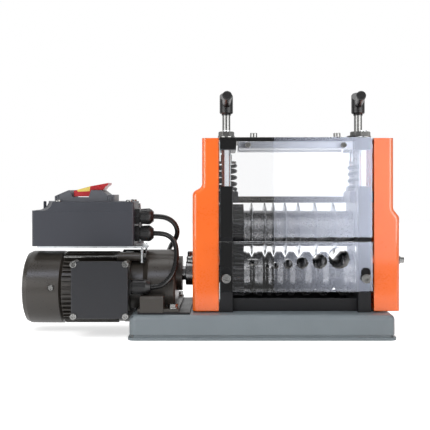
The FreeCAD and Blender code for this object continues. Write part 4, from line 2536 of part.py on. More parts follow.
def make_plug():
    """A round two-pin plug at the coil's outer end, lying on the floor."""
    end_x = coil_x - (coil_loop_dia + coil_spread) / 2
    plug = Piece("plug", end_x, coil_y - cord_dia, plug_dia / 2)
    radius = plug_dia / 2
    neck = cord_dia / 2 + plug_neck_wall
    shoulder = plug_body_length - plug_length
    plug.turn(
        "Y",
        polygon(
            [
                (0, 0),
                (0, neck),
                (-plug_neck_length, neck + plug_neck_taper),
                (shoulder, radius - plug_body_edge),
                (shoulder - 2 * plug_body_edge, radius),
                (-plug_length, radius),
                (-plug_length, 0),
            ]
        ),
    )
    pins = [circle(side * plug_pin_apart / 2, 0, plug_pin_dia) for side in (-1, 1)]
    plug.pad("XZ", -plug_length - plug_pin_length, plug_pin_length, *pins)
    return plug


NODES = []


def keep(made):
    """Marks a piece as one that is written out, and returns it."""
    item = made.body if isinstance(made, Piece) else made
    NODES.append(item)
    return made


keep(make_base_tray())
keep(make_wall("left_wall", left_wall_x, -1))
keep(make_wall("right_wall", right_wall_x, 1))
keep(make_wall_bolts())
keep(make_cap("left_cap", left_wall_x, 1))
keep(make_cap("right_cap", right_wall_x, -1))
keep(make_pillars())
keep(make_cap_nuts())
keep(make_top_plate())
keep(group("top_bars", [make_top_bar("front_bar", -1), make_top_bar("rear_bar", 1)]))
keep(make_top_screws())
keep(make_tie_rod())
keep(make_chip_tray())
keep(make_bearings("lower_bearings", lower_axis_z))
keep(make_bearings("upper_bearings", upper_axis_z))
keep(make_lower_roller())
gear_x = left_wall_x + wall_thick / 2 + gear_hub_gap
half_tooth = 180 / gear_teeth.value
keep(make_gear("lower_gear", gear_x, lower_axis_z, 90 + half_tooth))
keep(make_gear("upper_gear", gear_x, upper_axis_z, -90))
keep(make_coupling())
keep(make_blade_shaft())
keep(make_blades())
keep(make_spacers())
keep(make_slide_block("left_slide_block", left_wall_x, -1))
keep(make_slide_block("right_slide_block", right_wall_x, 1))
keep(make_spring("left_spring", left_wall_x))
keep(make_spring("right_spring", right_wall_x))
keep(make_screw("left_adjusting_screw", left_wall_x))
keep(make_screw("right_adjusting_screw", right_wall_x))
keep(make_upper_guard())
keep(make_wire_guide())
keep(make_guide_screws())
keep(
    make_cover(
        "left_cover",
        left_wall_x,
        -1,
        left_cover_low_width,
        left_cover_high_width,
        left_cover_step_low,
        left_cover_step_high,
        left_cover_gap,
        True,
    )
)
keep(
    make_cover(
        "right_cover",
        right_wall_x,
        1,
        right_cover_low_width,
        right_cover_high_width,
        right_cover_step_low,
        right_cover_step_high,
        right_cover_gap,
        False,
    )
)
keep(make_cover_bolts())
keep(make_motor_housing())
keep(make_fan_cover())
keep(make_fan())
keep(make_gearbox())
keep(make_gearbox_cover())
keep(make_motor_plate())
keep(make_motor_bolts())
keep(make_terminal_box())
keep(make_terminal_cover())
keep(make_box_screws())
keep(make_glands())
keep(make_bracket())
keep(make_control_box())
keep(make_control_lid())
keep(make_switch_housing())
keep(make_paddle())
keep(make_paddle_inlay())
keep(make_button("start_button", -1, button_rise))
keep(make_button("stop_button", 1, button_rise))
keep(make_grip("left_lever_grip", left_wall_x, left_arm_turn))
keep(make_grip("right_lever_grip", right_wall_x, right_arm_turn))
keep(make_motor_lead())
keep(make_power_cord())
keep(make_cord_coil())
keep(make_plug())


# Checks and export


def check_document():
    doc.recompute()
    for item in doc.Objects:
        if "Invalid" in item.State or "Error" in item.State:
            raise RuntimeError(item.Name + " failed: " + str(item.State))
        if item.TypeId in ("PartDesign::Pocket", "PartDesign::Groove"):
            if item.Shape.Volume > item.BaseFeature.Shape.Volume - 1e-3:
                raise RuntimeError(item.Name + " cuts nothing")
    for item in NODES:
        if item.Shape.isNull() or not item.Shape.isValid():
            raise RuntimeError(item.Label + " has no valid shape")


check_document()
os.makedirs("parts", exist_ok=True)
whole = FreeCAD.BoundBox()
for item in NODES:
    item.Shape.exportStep("parts/" + item.Label + ".step")
    whole.add(item.Shape.optimalBoundingBox())
print(len(NODES), "pieces, from", [round(v, 1) for v in (whole.XMin, whole.YMin, whole.ZMin)], end=" ")
print("to", [round(v, 1) for v in (whole.XMax, whole.YMax, whole.ZMax)])
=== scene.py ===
# %% [markdown]
# # A bench wire stripper, finished over its CAD frame
# The CAD model already fixes the shape and place of every hard part. This lesson adds what
# the drawing office leaves out: the supply cord as it lies, the finish of each part, a few
# small pieces that are easier to make here, and the studio.

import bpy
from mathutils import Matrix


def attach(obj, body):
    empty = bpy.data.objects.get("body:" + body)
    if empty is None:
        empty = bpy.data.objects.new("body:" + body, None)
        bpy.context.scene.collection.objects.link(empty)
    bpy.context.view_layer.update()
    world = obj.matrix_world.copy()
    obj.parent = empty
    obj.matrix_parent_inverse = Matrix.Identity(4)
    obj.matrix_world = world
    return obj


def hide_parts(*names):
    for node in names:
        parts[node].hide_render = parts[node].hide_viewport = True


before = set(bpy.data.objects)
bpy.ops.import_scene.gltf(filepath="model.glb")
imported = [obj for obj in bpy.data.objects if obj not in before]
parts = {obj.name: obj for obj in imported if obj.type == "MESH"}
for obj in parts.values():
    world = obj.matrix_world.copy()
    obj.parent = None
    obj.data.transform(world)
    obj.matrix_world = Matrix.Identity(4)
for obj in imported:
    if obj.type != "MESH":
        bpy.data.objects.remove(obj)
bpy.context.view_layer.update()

import math

import bmesh
import bpy
from mathutils import Matrix, Vector

print("parts in the frame:", len(parts))

# %% [markdown]
# ## The camera
# The product picture was taken square to the front, level with the top of the side walls.
# The lens follows from the width of the picture at the front of the machine. The machine
# stands low and to the left in the frame, and a small lens shift does that without tilting
# the camera, so upright edges stay upright.

# %% Place the camera
CAMERA_PLACE = (0.0215, -1.310, 0.2284)
CAMERA_LENS = 68.1
CAMERA_SHIFT = (-0.0256, -0.0628)

camera_data = bpy.data.cameras.new("front_camera")
camera_data.sensor_width = 36.0
camera_data.lens = CAMERA_LENS
camera_data.shift_x, camera_data.shift_y = CAMERA_SHIFT
camera_data.clip_end = 50.0
camera = bpy.data.objects.new("front_camera", camera_data)
camera.location = CAMERA_PLACE
camera.rotation_euler = (math.radians(90), 0, 0)
bpy.context.scene.collection.objects.link(camera)
bpy.context.scene.camera = camera
print("camera stands", round(-CAMERA_PLACE[1], 3), "m in front of the machine's middle")

# %% [markdown]
# ## The cords
# Both cords are round rubber cable of 8 mm. A cable is one smooth line with a round
# section, and a NURBS curve with a round bevel is just that: a few control points pull on
# the line, and nothing kinks. The order of the spline is set after its points are there,
# because a spline with too few points falls back to straight runs. The bevel is one metre
# and each point's radius scales it down to the cable's own, so that Blender's box around the
# curve, which adds those radii, comes out right too.

# %% Draw a cord along its route
CORD_DIAMETER = 0.008


def lay_cord(name, route):
    """A round cable along a smooth line that the route's points pull into place."""
    line = bpy.data.curves.new(name, "CURVE")
    line.dimensions = "3D"
    line.bevel_depth = 1.0
    line.bevel_resolution = 7
    line.use_fill_caps = True
    spline = line.splines.new("NURBS")
    spline.points.add(len(route) - 1)
    for point, place in zip(spline.points, route):
        point.co = (*place, 1.0)
        point.radius = CORD_DIAMETER / 2
    spline.order_u = 3
    spline.use_endpoint_u = True
    spline.resolution_u = 10
    cord = bpy.data.objects.new(name, line)
    bpy.context.scene.collection.objects.link(cord)
    print(name, "has", len(route), "points")
    return cord


# %% [markdown]
# The motor lead leaves the lower gland of the switch box, bends down in front of the gear
# case and enters the terminal box from the right. Both of its ends are in the machine.

# %% Lay the motor lead
LEAD_ROUTE = [
    (-0.0940, -0.010, 0.1560),
    (-0.0820, -0.010, 0.1560),
    (-0.0690, -0.014, 0.1525),
    (-0.0595, -0.023, 0.1435),
    (-0.0555, -0.036, 0.1280),
    (-0.0560, -0.049, 0.1105),
    (-0.0615, -0.0605, 0.0940),
    (-0.0715, -0.068, 0.0830),
    (-0.0824, -0.070, 0.0775),
    (-0.0934, -0.070, 0.0775),
]
motor_lead = lay_cord("motor_lead_cable", LEAD_ROUTE)
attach(motor_lead, "frame")
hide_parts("motor_lead")

# %% [markdown]
# The supply cord leaves the upper gland, goes over and behind the gear case and reaches
# the floor behind the motor. A machine like this has about 1.8 m of it. What the picture
# doesn't show is put away as a neat coil behind the motor: turns that spiral in on the
# floor, climb, and spiral out again on top. The turns come from a loop, 16 points each.
# A curved line cuts inside its control points: in a spline of order 3 a point pulls with
# three quarters and its two neighbours share the rest. So the loop's points stand a little
# wide.

# %% Lay the supply cord and its coil
SUPPLY_ROUTE = [
    (-0.0940, -0.010, 0.1830),
    (-0.0810, -0.010, 0.1830),
    (-0.0680, -0.009, 0.1785),
    (-0.0590, -0.006, 0.1695),
    (-0.0560, -0.0015, 0.1570),
    (-0.0610, 0.007, 0.1445),
    (-0.0690, 0.022, 0.1340),
    (-0.0750, 0.046, 0.1210),
    (-0.0810, 0.076, 0.1010),
    (-0.0890, 0.101, 0.0660),
    (-0.0990, 0.113, 0.0310),
    (-0.1120, 0.131, 0.0070),
    (-0.12475, 0.168, 0.0042),
]
COIL_MIDDLE = (-0.178, 0.205)
COIL_OUTER, COIL_INNER = 0.05325, 0.03075
COIL_PITCH = 0.009
LAYER_TURNS, CLIMB_TURNS = 2.5, 0.5
LOW_LAYER, HIGH_LAYER = 0.0050, 0.0136
CLIMB_TUCK = 0.0012
PLUG_Y, PLUG_HEIGHT = 0.197, 0.018
POINTS_A_TURN = 16
OWN_PULL, NEIGHBOURS_PULL = 0.75, 0.25
WIDEN = 1 / (OWN_PULL + NEIGHBOURS_PULL * math.cos(2 * math.pi / POINTS_A_TURN))


def coil_point(turns):
    """Where the cord is after so many turns of the coil."""
    radius, height = COIL_OUTER - COIL_PITCH * turns, LOW_LAYER
    if turns > LAYER_TURNS:
        climb = min(1.0, (turns - LAYER_TURNS) / CLIMB_TURNS)
        outward = max(0.0, turns - LAYER_TURNS - CLIMB_TURNS)
        rise = max(0.0, turns - 2 * LAYER_TURNS) / CLIMB_TURNS
        radius = COIL_INNER + COIL_PITCH * outward - CLIMB_TUCK * math.sin(math.pi * climb)
        height = LOW_LAYER + (HIGH_LAYER - LOW_LAYER) * climb + (PLUG_HEIGHT - HIGH_LAYER) * rise
    angle = 2 * math.pi * turns
    return (
        COIL_MIDDLE[0] + WIDEN * radius * math.cos(angle),
        COIL_MIDDLE[1] + WIDEN * radius * math.sin(angle),
        height,
    )


coil_turns = 2 * LAYER_TURNS + CLIMB_TURNS
coil_route = [coil_point(i / POINTS_A_TURN) for i in range(int(coil_turns * POINTS_A_TURN) + 1)]
PLUG_END = (COIL_MIDDLE[0] - COIL_OUTER, PLUG_Y, PLUG_HEIGHT)
supply_cord = lay_cord("supply_cord", SUPPLY_ROUTE + coil_route + [PLUG_END])
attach(supply_cord, "frame")
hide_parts("power_cord", "cord_coil")
print("the coil has", coil_turns, "turns")

# %% [markdown]
# ## The plug
# A round two-pin plug ends the cord. Its body is moulded rubber: a neck that grips the
# cord, a cone for the fingers and a flat round face. A turned shape like that is a profile
# spun once around its axis. The spin closes on itself with use_merge, and the normals are
# recalculated afterwards because a spin can turn a surface inside out.

# %% Shape pieces with bmesh
ALONG_BACK_Y = Matrix.Rotation(math.radians(90), 4, "X")


def piece_from(name, shape):
    """Turns a finished bmesh into a piece that rides on the machine's frame."""
    bmesh.ops.recalc_face_normals(shape, faces=shape.faces)
    mesh = bpy.data.meshes.new(name)
    shape.to_mesh(mesh)
    shape.free()
    piece = bpy.data.objects.new(name, mesh)
    bpy.context.scene.collection.objects.link(piece)
    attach(piece, "frame")
    print(name, "has", len(mesh.polygons), "faces")
    return piece


def turned(shape, profile, steps):
    """Spins a profile of (radius, height) points around Z into the bmesh."""
    points = [shape.verts.new((radius, 0, height)) for radius, height in profile]
    edges = [shape.edges.new(pair) for pair in zip(points, points[1:])]
    bmesh.ops.spin(
        shape,
        geom=points + edges,
        axis=(0, 0, 1),
        cent=(0, 0, 0),
        angle=2 * math.pi,
        steps=steps,
        use_merge=True,
    )
    bmesh.ops.remove_doubles(shape, verts=shape.verts, dist=1e-6)
    for face in shape.faces:
        face.smooth = True


# %% [markdown]
# The neck has rings that let it bend, and the two pins are one more turned shape, made
# twice. Everything is spun upright at the origin, where a profile is easy to read, and one
# matrix then lays the whole plug at the end of the cord.

# %% Make the plug's body and pins
PLUG_RADIUS, PLUG_LENGTH = 0.018, 0.042
NECK_RADIUS = 0.0065
NECK_RINGS, RING_PITCH, RING_DEPTH, RING_GROWTH = 4, 0.0022, 0.0010, 0.0003
PIN_RADIUS, PIN_LENGTH, PIN_APART, PIN_ROOT = 0.0024, 0.019, 0.019, 0.004
BODY_STEPS, PIN_STEPS = 48, 24

plug_profile = [(0.0, 0.0), (CORD_DIAMETER / 2, 0.0), (NECK_RADIUS, 0.0008)]
for ring in range(NECK_RINGS):
    start = RING_PITCH + RING_PITCH * ring
    crest = NECK_RADIUS + RING_GROWTH * ring
    plug_profile += [
        (crest, start),
        (crest - RING_DEPTH, start + 0.0004),
        (crest - RING_DEPTH, start + 0.0012),
        (crest + 0.0002, start + 0.0016),
    ]
plug_profile += [
    (0.0088, 0.0130),
    (0.0125, 0.0190),
    (0.0155, 0.0240),
    (0.0166, 0.0262),
    (0.0176, 0.0285),
    (PLUG_RADIUS, 0.0300),
    (PLUG_RADIUS, PLUG_LENGTH - 0.0015),
    (PLUG_RADIUS - 0.0006, PLUG_LENGTH - 0.0004),
    (PLUG_RADIUS - 0.0016, PLUG_LENGTH),
    (0.0, PLUG_LENGTH),
]
plug_place = Matrix.Translation(PLUG_END) @ ALONG_BACK_Y
shape = bmesh.new()
turned(shape, plug_profile, BODY_STEPS)
bmesh.ops.transform(shape, matrix=plug_place, verts=shape.verts)
plug_body = piece_from("plug_body", shape)
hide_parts("plug")

pin_root, pin_tip = PLUG_LENGTH - PIN_ROOT, PLUG_LENGTH + PIN_LENGTH
pin_profile = [
    (0.0, pin_root),
    (PIN_RADIUS, pin_root),
    (PIN_RADIUS, pin_tip - 0.0016),
    (PIN_RADIUS - 0.0005, pin_tip - 0.0004),
    (PIN_RADIUS - 0.0013, pin_tip),
    (0.0, pin_tip),
]
shape = bmesh.new()
for side in (-1, 1):
    before = len(shape.verts)
    turned(shape, pin_profile, PIN_STEPS)
    shape.verts.ensure_lookup_table()
    bmesh.ops.translate(shape, vec=(side * PIN_APART / 2, 0, 0), verts=shape.verts[before:])
bmesh.ops.transform(shape, matrix=plug_place, verts=shape.verts)
plug_pins = piece_from("plug_pins", shape)

# %% [markdown]
# ## The tie around the coil
# A flat hook-and-loop tie keeps the turns together, as on a new machine. It is a thin
# strap with rounded corners that goes under the cords and over them. A rounded loop is
# drawn with a few points, its corners are bevelled, and solidify gives the strap its
# thickness. The coil's lower turns stand one strap above the floor.

# %% Wrap the tie
TIE_WIDTH, TIE_THICKNESS = 0.012, 0.0008
TIE_INSIDE, TIE_OUTSIDE = 0.0275, 0.0568
TIE_TOP, TIE_SLOPE = 0.0205, 0.0026
TIE_CORNER = 0.0035
TIE_OFF_FLOOR = 0.0001

shape = bmesh.new()
half = TIE_WIDTH / 2
loop = [
    shape.verts.new((-half, TIE_INSIDE, 0.0)),
    shape.verts.new((-half, TIE_OUTSIDE, 0.0)),
    shape.verts.new((-half, TIE_OUTSIDE, TIE_TOP)),
    shape.verts.new((-half, TIE_INSIDE, TIE_TOP - TIE_SLOPE)),
]
edges = [shape.edges.new((loop[i], loop[(i + 1) % 4])) for i in range(4)]
made = bmesh.ops.extrude_edge_only(shape, edges=edges)
far = [v for v in made["geom"] if isinstance(v, bmesh.types.BMVert)]
bmesh.ops.translate(shape, vec=(TIE_WIDTH, 0, 0), verts=far)
corners = [e for e in shape.edges if abs(e.verts[0].co.x - e.verts[1].co.x) > half]
bmesh.ops.bevel(
    shape,
    geom=corners,
    offset=TIE_CORNER,
    offset_type="OFFSET",
    affect="EDGES",
    segments=5,
    profile=0.5,
    material=-1,
)
bmesh.ops.recalc_face_normals(shape, faces=shape.faces)
bmesh.ops.solidify(shape, geom=shape.faces[:], thickness=TIE_THICKNESS)
low = min(v.co.z for v in shape.verts)
bmesh.ops.translate(shape, vec=(*COIL_MIDDLE, TIE_OFF_FLOOR - low), verts=shape.verts)
coil_tie = piece_from("coil_tie", shape)
print("the tie is", TIE_WIDTH * 1000, "mm wide")

# %% [markdown]
# The plug, pins and tie belong to the cord, which runs from the gland to the plug through
# every turn of the coil.

# %% [markdown]
# ## Wiring a finish
# Every finish is a small graph of shader nodes. A few helpers keep the graphs readable: one
# adds a node with its settings and inputs, one opens an empty node group with named
# sockets, and the rest add a common node and return its result. An input may be a number, a
# colour or the output of an earlier node.


# %% Helpers for shader graphs
def add(tree, kind, inputs=None, **settings):
    """Adds one node; each input is a value or the output socket that feeds it."""
    node = tree.nodes.new(kind)
    for name, value in settings.items():
        setattr(node, name, value)
    for name, value in (inputs or {}).items():
        if isinstance(value, bpy.types.NodeSocket):
            tree.links.new(value, node.inputs[name])
        else:
            node.inputs[name].default_value = value
    return node


def blend_of(tree, factor, first, second):
    """A colour that goes from first to second as the factor goes from 0 to 1."""
    mix = add(tree, "ShaderNodeMix", {0: factor, 6: first, 7: second}, data_type="RGBA")
    return mix.outputs[2]


def number_blend(tree, factor, first, second):
    """A number that goes from first to second as the factor goes from 0 to 1."""
    mix = add(tree, "ShaderNodeMix", {0: factor, 2: first, 3: second}, data_type="FLOAT")
    return mix.outputs[0]


def math_of(tree, operation, first, second=0.0):
    """The result of one operation on one or two numbers."""
    return add(tree, "ShaderNodeMath", {0: first, 1: second}, operation=operation).outputs[0]


def noise_of(tree, place, scale, detail):
    """Soft noise from 0 to 1 over a place."""
    noise = add(tree, "ShaderNodeTexNoise", {"Vector": place, "Scale": scale, "Detail": detail})
    return noise.outputs["Fac"]


def shader_blend(tree, factor, first, second):
    """A mix of two shader nodes; the factor is the second one's share."""
    sources = {0: factor, 1: first.outputs[0], 2: second.outputs[0]}
    return add(tree, "ShaderNodeMixShader", sources)


def axes_of(tree, vector):
    """The X, Y and Z of a vector."""
    return add(tree, "ShaderNodeSeparateXYZ", {0: vector}).outputs


def spread_of(tree, value, low, high, start=0.0, end=1.0):
    """A value moved from the range start..end to the range low..high."""
    ranges = {"Value": value, "From Min": start, "From Max": end, "To Min": low, "To Max": high}
    return add(tree, "ShaderNodeMapRange", ranges).outputs["Result"]


def open_group(name, inputs, outputs):
    """An empty node group with its sockets; returns its tree and its two end nodes."""
    tree = bpy.data.node_groups.new(name, "ShaderNodeTree")
    for label, (kind, value) in inputs.items():
        socket = tree.interface.new_socket(label, in_out="INPUT", socket_type="NodeSocket" + kind)
        socket.default_value = value
    for label, kind in outputs.items():
        tree.interface.new_socket(label, in_out="OUTPUT", socket_type="NodeSocket" + kind)
    return tree, tree.nodes.new("NodeGroupInput"), tree.nodes.new("NodeGroupOutput")


def group_node(tree, group, inputs=None):
    """Places a node group in a material with its own values."""
    return add(tree, "ShaderNodeGroup", inputs, node_tree=group)


# %% [markdown]
# ## Edges
# A real edge is never quite sharp, and its paint is thinnest there. The Bevel node looks
# around each point and gives the normal that a rounded edge would have. Where that normal
# leaves the true one, there is an edge, so the same node also gives an edge mask, which some
# finishes use to paint a highlight along every edge. Noise breaks it up into a mask for
# rubbed wear, because hands and tools don't rub every edge alike; on the enamels that mask
# also carries a painted highlight.

# %% Build the edge group
edges_group, given, result = open_group(
    "Edge wear and painted sheen",
    {"Place": ("Vector", (0, 0, 0)), "Reach": ("Float", 0.0008), "Patches": ("Float", 90.0)},
    {"Normal": "Vector", "Edge": "Float", "Rub": "Float"},
)
rounded = add(edges_group, "ShaderNodeBevel", {"Radius": given.outputs["Reach"]}, samples=4)
true_normal = add(edges_group, "ShaderNodeNewGeometry")
agree = add(
    edges_group,
    "ShaderNodeVectorMath",
    {0: rounded.outputs[0], 1: true_normal.outputs["Normal"]},
    operation="DOT_PRODUCT",
)
edge = spread_of(edges_group, agree.outputs["Value"], 0.0, 1.0, start=0.985, end=0.86)
patches = noise_of(edges_group, given.outputs["Place"], given.outputs["Patches"], detail=3.0)
patchy = spread_of(edges_group, patches, 0.0, 1.0, start=0.42, end=0.62)
rub = math_of(edges_group, "MULTIPLY", edge, patchy)
edges_group.links.new(rounded.outputs[0], result.inputs["Normal"])
edges_group.links.new(edge, result.inputs["Edge"])
edges_group.links.new(rub, result.inputs["Rub"])
print("edge group sockets:", [s.name for s in edges_group.interface.items_tree])

# %% [markdown]
# ## Hands and time
# No surface is equally shiny all over. A coarse noise stands for wiped and handled areas
# and a fine one for what dust leaves. Together they move the roughness a little, and a
# second output moves the tone, so that large flat panels don't look like cut paper.

# %% Build the handling group
SPECK_SCALE = 420.0
handling_group, given, result = open_group(
    "Handled surface",
    {
        "Place": ("Vector", (0, 0, 0)),
        "Smooth": ("Float", 0.3),
        "Dull": ("Float", 0.4),
        "Patch Scale": ("Float", 14.0),
    },
    {"Roughness": "Float", "Tone": "Float"},
)
place, patch_scale = given.outputs["Place"], given.outputs["Patch Scale"]
wiped = noise_of(handling_group, place, patch_scale, detail=4.0)
specks = noise_of(handling_group, place, SPECK_SCALE, detail=2.0)
both = math_of(handling_group, "ADD", wiped, specks)
smooth, dull = given.outputs["Smooth"], given.outputs["Dull"]
dullness = spread_of(handling_group, both, smooth, dull, start=0.75, end=1.25)
tone = spread_of(handling_group, wiped, 0.0, 1.0, start=0.3, end=0.7)
handling_group.links.new(dullness, result.inputs["Roughness"])
handling_group.links.new(tone, result.inputs["Tone"])
print("handling group is ready")

# %% [markdown]
# ## Paint skin and moulded grain
# Sprayed enamel dries with a faint orange peel, cast iron shows its sand under the paint,
# and a plastic mould is spark-eroded to a fine grain. All three are a height that changes
# over the surface: soft noise for the peel, and small cells for the grain.

# %% Build the skin group
skin_group, given, result = open_group(
    "Surface skin",
    {
        "Place": ("Vector", (0, 0, 0)),
        "Peel": ("Float", 260.0),
        "Grain": ("Float", 1600.0),
        "Grain Share": ("Float", 0.3),
    },
    {"Height": "Float"},
)
peel = noise_of(skin_group, given.outputs["Place"], given.outputs["Peel"], detail=1.0)
grain = add(
    skin_group,
    "ShaderNodeTexVoronoi",
    {"Vector": given.outputs["Place"], "Scale": given.outputs["Grain"]},
    feature="SMOOTH_F1",
)
height = number_blend(skin_group, given.outputs["Grain Share"], peel, grain.outputs["Distance"])
skin_group.links.new(height, result.inputs["Height"])
print("skin group is ready")

# %% [markdown]
# ## Marks of the lathe and the grinder
# A turned shaft or a ground disc carries fine rings around its axis. The group measures
# each point's distance from the axis and its place along it, and reads a noise that only
# changes across the rings. The axis runs along X, so every turned part in the cutting head
# uses the same group with the height of its own shaft. Brushed bars use long thin noise.

# %% Build the ring and brush groups
BROAD_RINGS = 160.0
rings_group, given, result = open_group(
    "Lathe rings",
    {"Place": ("Vector", (0, 0, 0)), "Axis": ("Vector", (0, 0, 0)), "Fineness": ("Float", 1400.0)},
    {"Height": "Float", "Tone": "Float"},
)
from_axis = add(
    rings_group,
    "ShaderNodeVectorMath",
    {0: given.outputs["Place"], 1: given.outputs["Axis"]},
    operation="SUBTRACT",
)
along, sideways, upward = axes_of(rings_group, from_axis.outputs[0])
across = add(rings_group, "ShaderNodeCombineXYZ", {1: sideways, 2: upward})
radius = add(rings_group, "ShaderNodeVectorMath", {0: across.outputs[0]}, operation="LENGTH")
on_ring = add(rings_group, "ShaderNodeCombineXYZ", {0: along, 1: radius.outputs["Value"]})
fine_rings = noise_of(rings_group, on_ring.outputs[0], given.outputs["Fineness"], detail=3.0)
broad_rings = noise_of(rings_group, on_ring.outputs[0], BROAD_RINGS, detail=2.0)
ring_tone = spread_of(rings_group, broad_rings, 0.0, 1.0, start=0.35, end=0.65)
rings_group.links.new(fine_rings, result.inputs["Height"])
rings_group.links.new(ring_tone, result.inputs["Tone"])

brush_group, given, result = open_group(
    "Brushed lines",
    {"Place": ("Vector", (0, 0, 0)), "Stretch": ("Vector", (8.0, 900.0, 900.0))},
    {"Height": "Float", "Tone": "Float"},
)
stretched = add(
    brush_group,
    "ShaderNodeVectorMath",
    {0: given.outputs["Place"], 1: given.outputs["Stretch"]},
    operation="MULTIPLY",
)
fine_lines = noise_of(brush_group, stretched.outputs[0], scale=1.0, detail=4.0)
line_tone = spread_of(brush_group, fine_lines, 0.0, 1.0, start=0.3, end=0.7)
brush_group.links.new(fine_lines, result.inputs["Height"])
brush_group.links.new(line_tone, result.inputs["Tone"])
print("ring and brush groups are ready")

# %% [markdown]
# ## Families of finish
# Most finishes here are one of three kinds: enamel over steel or iron, bare metal, and
# moulded plastic. One function per kind places the groups in a material and joins them to
# a Principled shader. What is the same all over a part, such as its coat's roughness, is
# set on the shader itself.


# %% Start a material
def new_finish(name):
    """An empty material with a Principled shader; returns it, its tree, shader and place."""
    finish = bpy.data.materials.new(name)
    finish.use_nodes = True
    tree = finish.node_tree
    tree.nodes.clear()
    shader = add(tree, "ShaderNodeBsdfPrincipled")
    add(tree, "ShaderNodeOutputMaterial", {"Surface": shader.outputs[0]})
    place = add(tree, "ShaderNodeTexCoord").outputs["Object"]
    return finish, tree, shader, place


def shade(colour, share):
    """The same colour, lighter or darker."""
    return (*(min(1.0, channel * share) for channel in colour), 1.0)


def tones_of(tree, factor, colour, low, high):
    """The colour, from its low share to its high one as the factor goes from 0 to 1."""
    return blend_of(tree, factor, shade(colour, low), shade(colour, high))


def surface(tree, shader, colour, roughness, height, depth, normal):
    """Feeds the shader its colour, its roughness and a bump over the rounded edges."""
    bump = add(tree, "ShaderNodeBump", {"Height": height, "Distance": depth, "Normal": normal})
    tree.links.new(colour, shader.inputs["Base Color"])
    tree.links.new(roughness, shader.inputs["Roughness"])
    tree.links.new(bump.outputs[0], shader.inputs["Normal"])


# %% [markdown]
# Enamel is a coloured layer with a clear gloss. Its tone wanders a few percent, its skin
# has a peel, and at rubbed edges a lighter tone is painted: partly wear showing through,
# partly a painted highlight along the edges.


# %% Enamel
COAT_ROUGHNESS = 0.08


def enamel(
    name,
    colour,
    smooth,
    dull,
    wear_and_sheen_colour,
    rub=0.5,
    coat=0.0,
    gloss=0.5,
    peel=260.0,
    depth=0.00004,
    reach=0.0009,
    grain=0.2,
):
    """Sprayed and baked enamel on sheet steel or on a casting."""
    finish, tree, shader, place = new_finish(name)
    edge_wear_and_sheen = group_node(tree, edges_group, {"Place": place, "Reach": reach})
    handled = group_node(tree, handling_group, {"Place": place, "Smooth": smooth, "Dull": dull})
    skin = group_node(tree, skin_group, {"Place": place, "Peel": peel, "Grain Share": grain})
    tone = tones_of(tree, handled.outputs["Tone"], colour, low=0.93, high=1.05)
    # The rubbed edges take the lighter colour: wear, and also a painted highlight along the edges.
    wear_and_sheen_share = spread_of(tree, edge_wear_and_sheen.outputs["Rub"], 0.0, rub)
    paint = blend_of(tree, wear_and_sheen_share, tone, (*wear_and_sheen_colour, 1.0))
    roughness, height = handled.outputs["Roughness"], skin.outputs["Height"]
    surface(tree, shader, paint, roughness, height, depth, edge_wear_and_sheen.outputs["Normal"])
    shader.inputs["Coat Weight"].default_value = coat
    shader.inputs["Coat Roughness"].default_value = COAT_ROUGHNESS
    shader.inputs["Specular IOR Level"].default_value = gloss
    return finish


# %% [markdown]
# Bare metal is a mirror that its machining has scratched. Rings or brush lines give the
# bump, and the same lines make the colour lighter and darker by a little.


# %% Bare metal
METAL_EDGE_REACH = 0.0006
METAL_PATCH_SCALE = 45.0


def bare_metal(name, colour, smooth, dull, lines, depth=0.00002, contrast=0.12):
    """Machined, plated or polished metal; lines is a group and the values it takes."""
    finish, tree, shader, place = new_finish(name)
    edge_wear_and_sheen = group_node(tree, edges_group, {"Place": place, "Reach": METAL_EDGE_REACH})
    wear = {"Place": place, "Smooth": smooth, "Dull": dull, "Patch Scale": METAL_PATCH_SCALE}
    handled = group_node(tree, handling_group, wear)
    group, values = lines
    marks = group_node(tree, group, {"Place": place, **values})
    tone = tones_of(tree, marks.outputs["Tone"], colour, low=1 - contrast, high=1 + contrast)
    bright = blend_of(tree, edge_wear_and_sheen.outputs["Rub"], tone, shade(colour, 1.25))
    roughness, height = handled.outputs["Roughness"], marks.outputs["Height"]
    surface(tree, shader, bright, roughness, height, depth, edge_wear_and_sheen.outputs["Normal"])
    shader.inputs["Metallic"].default_value = 1.0
    return finish


# %% [markdown]
# Moulded plastic takes its look from the steel mould: a fine even grain, soft edges, and
# gloss where the grain has been handled flat. Every edge is also painted lighter by a
# share of the colour, a painted highlight.


# %% Moulded plastic
MOULD_EDGE_REACH = 0.0007
MOULD_GRAIN_SHARE = 0.8


def plastic(name, colour, smooth, dull, grain=1500.0, depth=0.00003, edge=1.5):
    """Moulded plastic or rubber with a fine grain; edge is how much lighter a painted highlight
    makes its edges.
    """
    finish, tree, shader, place = new_finish(name)
    edge_wear_and_sheen = group_node(tree, edges_group, {"Place": place, "Reach": MOULD_EDGE_REACH})
    handled = group_node(tree, handling_group, {"Place": place, "Smooth": smooth, "Dull": dull})
    cells = {"Place": place, "Grain": grain, "Grain Share": MOULD_GRAIN_SHARE}
    skin = group_node(tree, skin_group, cells)
    tone = tones_of(tree, handled.outputs["Tone"], colour, low=0.92, high=1.06)
    # Every edge is painted lighter by the edge share: a painted highlight.
    edge_sheen_painted = blend_of(tree, edge_wear_and_sheen.outputs["Edge"], tone, shade(colour, edge))
    roughness, height = handled.outputs["Roughness"], skin.outputs["Height"]
    surface(tree, shader, edge_sheen_painted, roughness, height, depth, edge_wear_and_sheen.outputs["Normal"])
    return finish


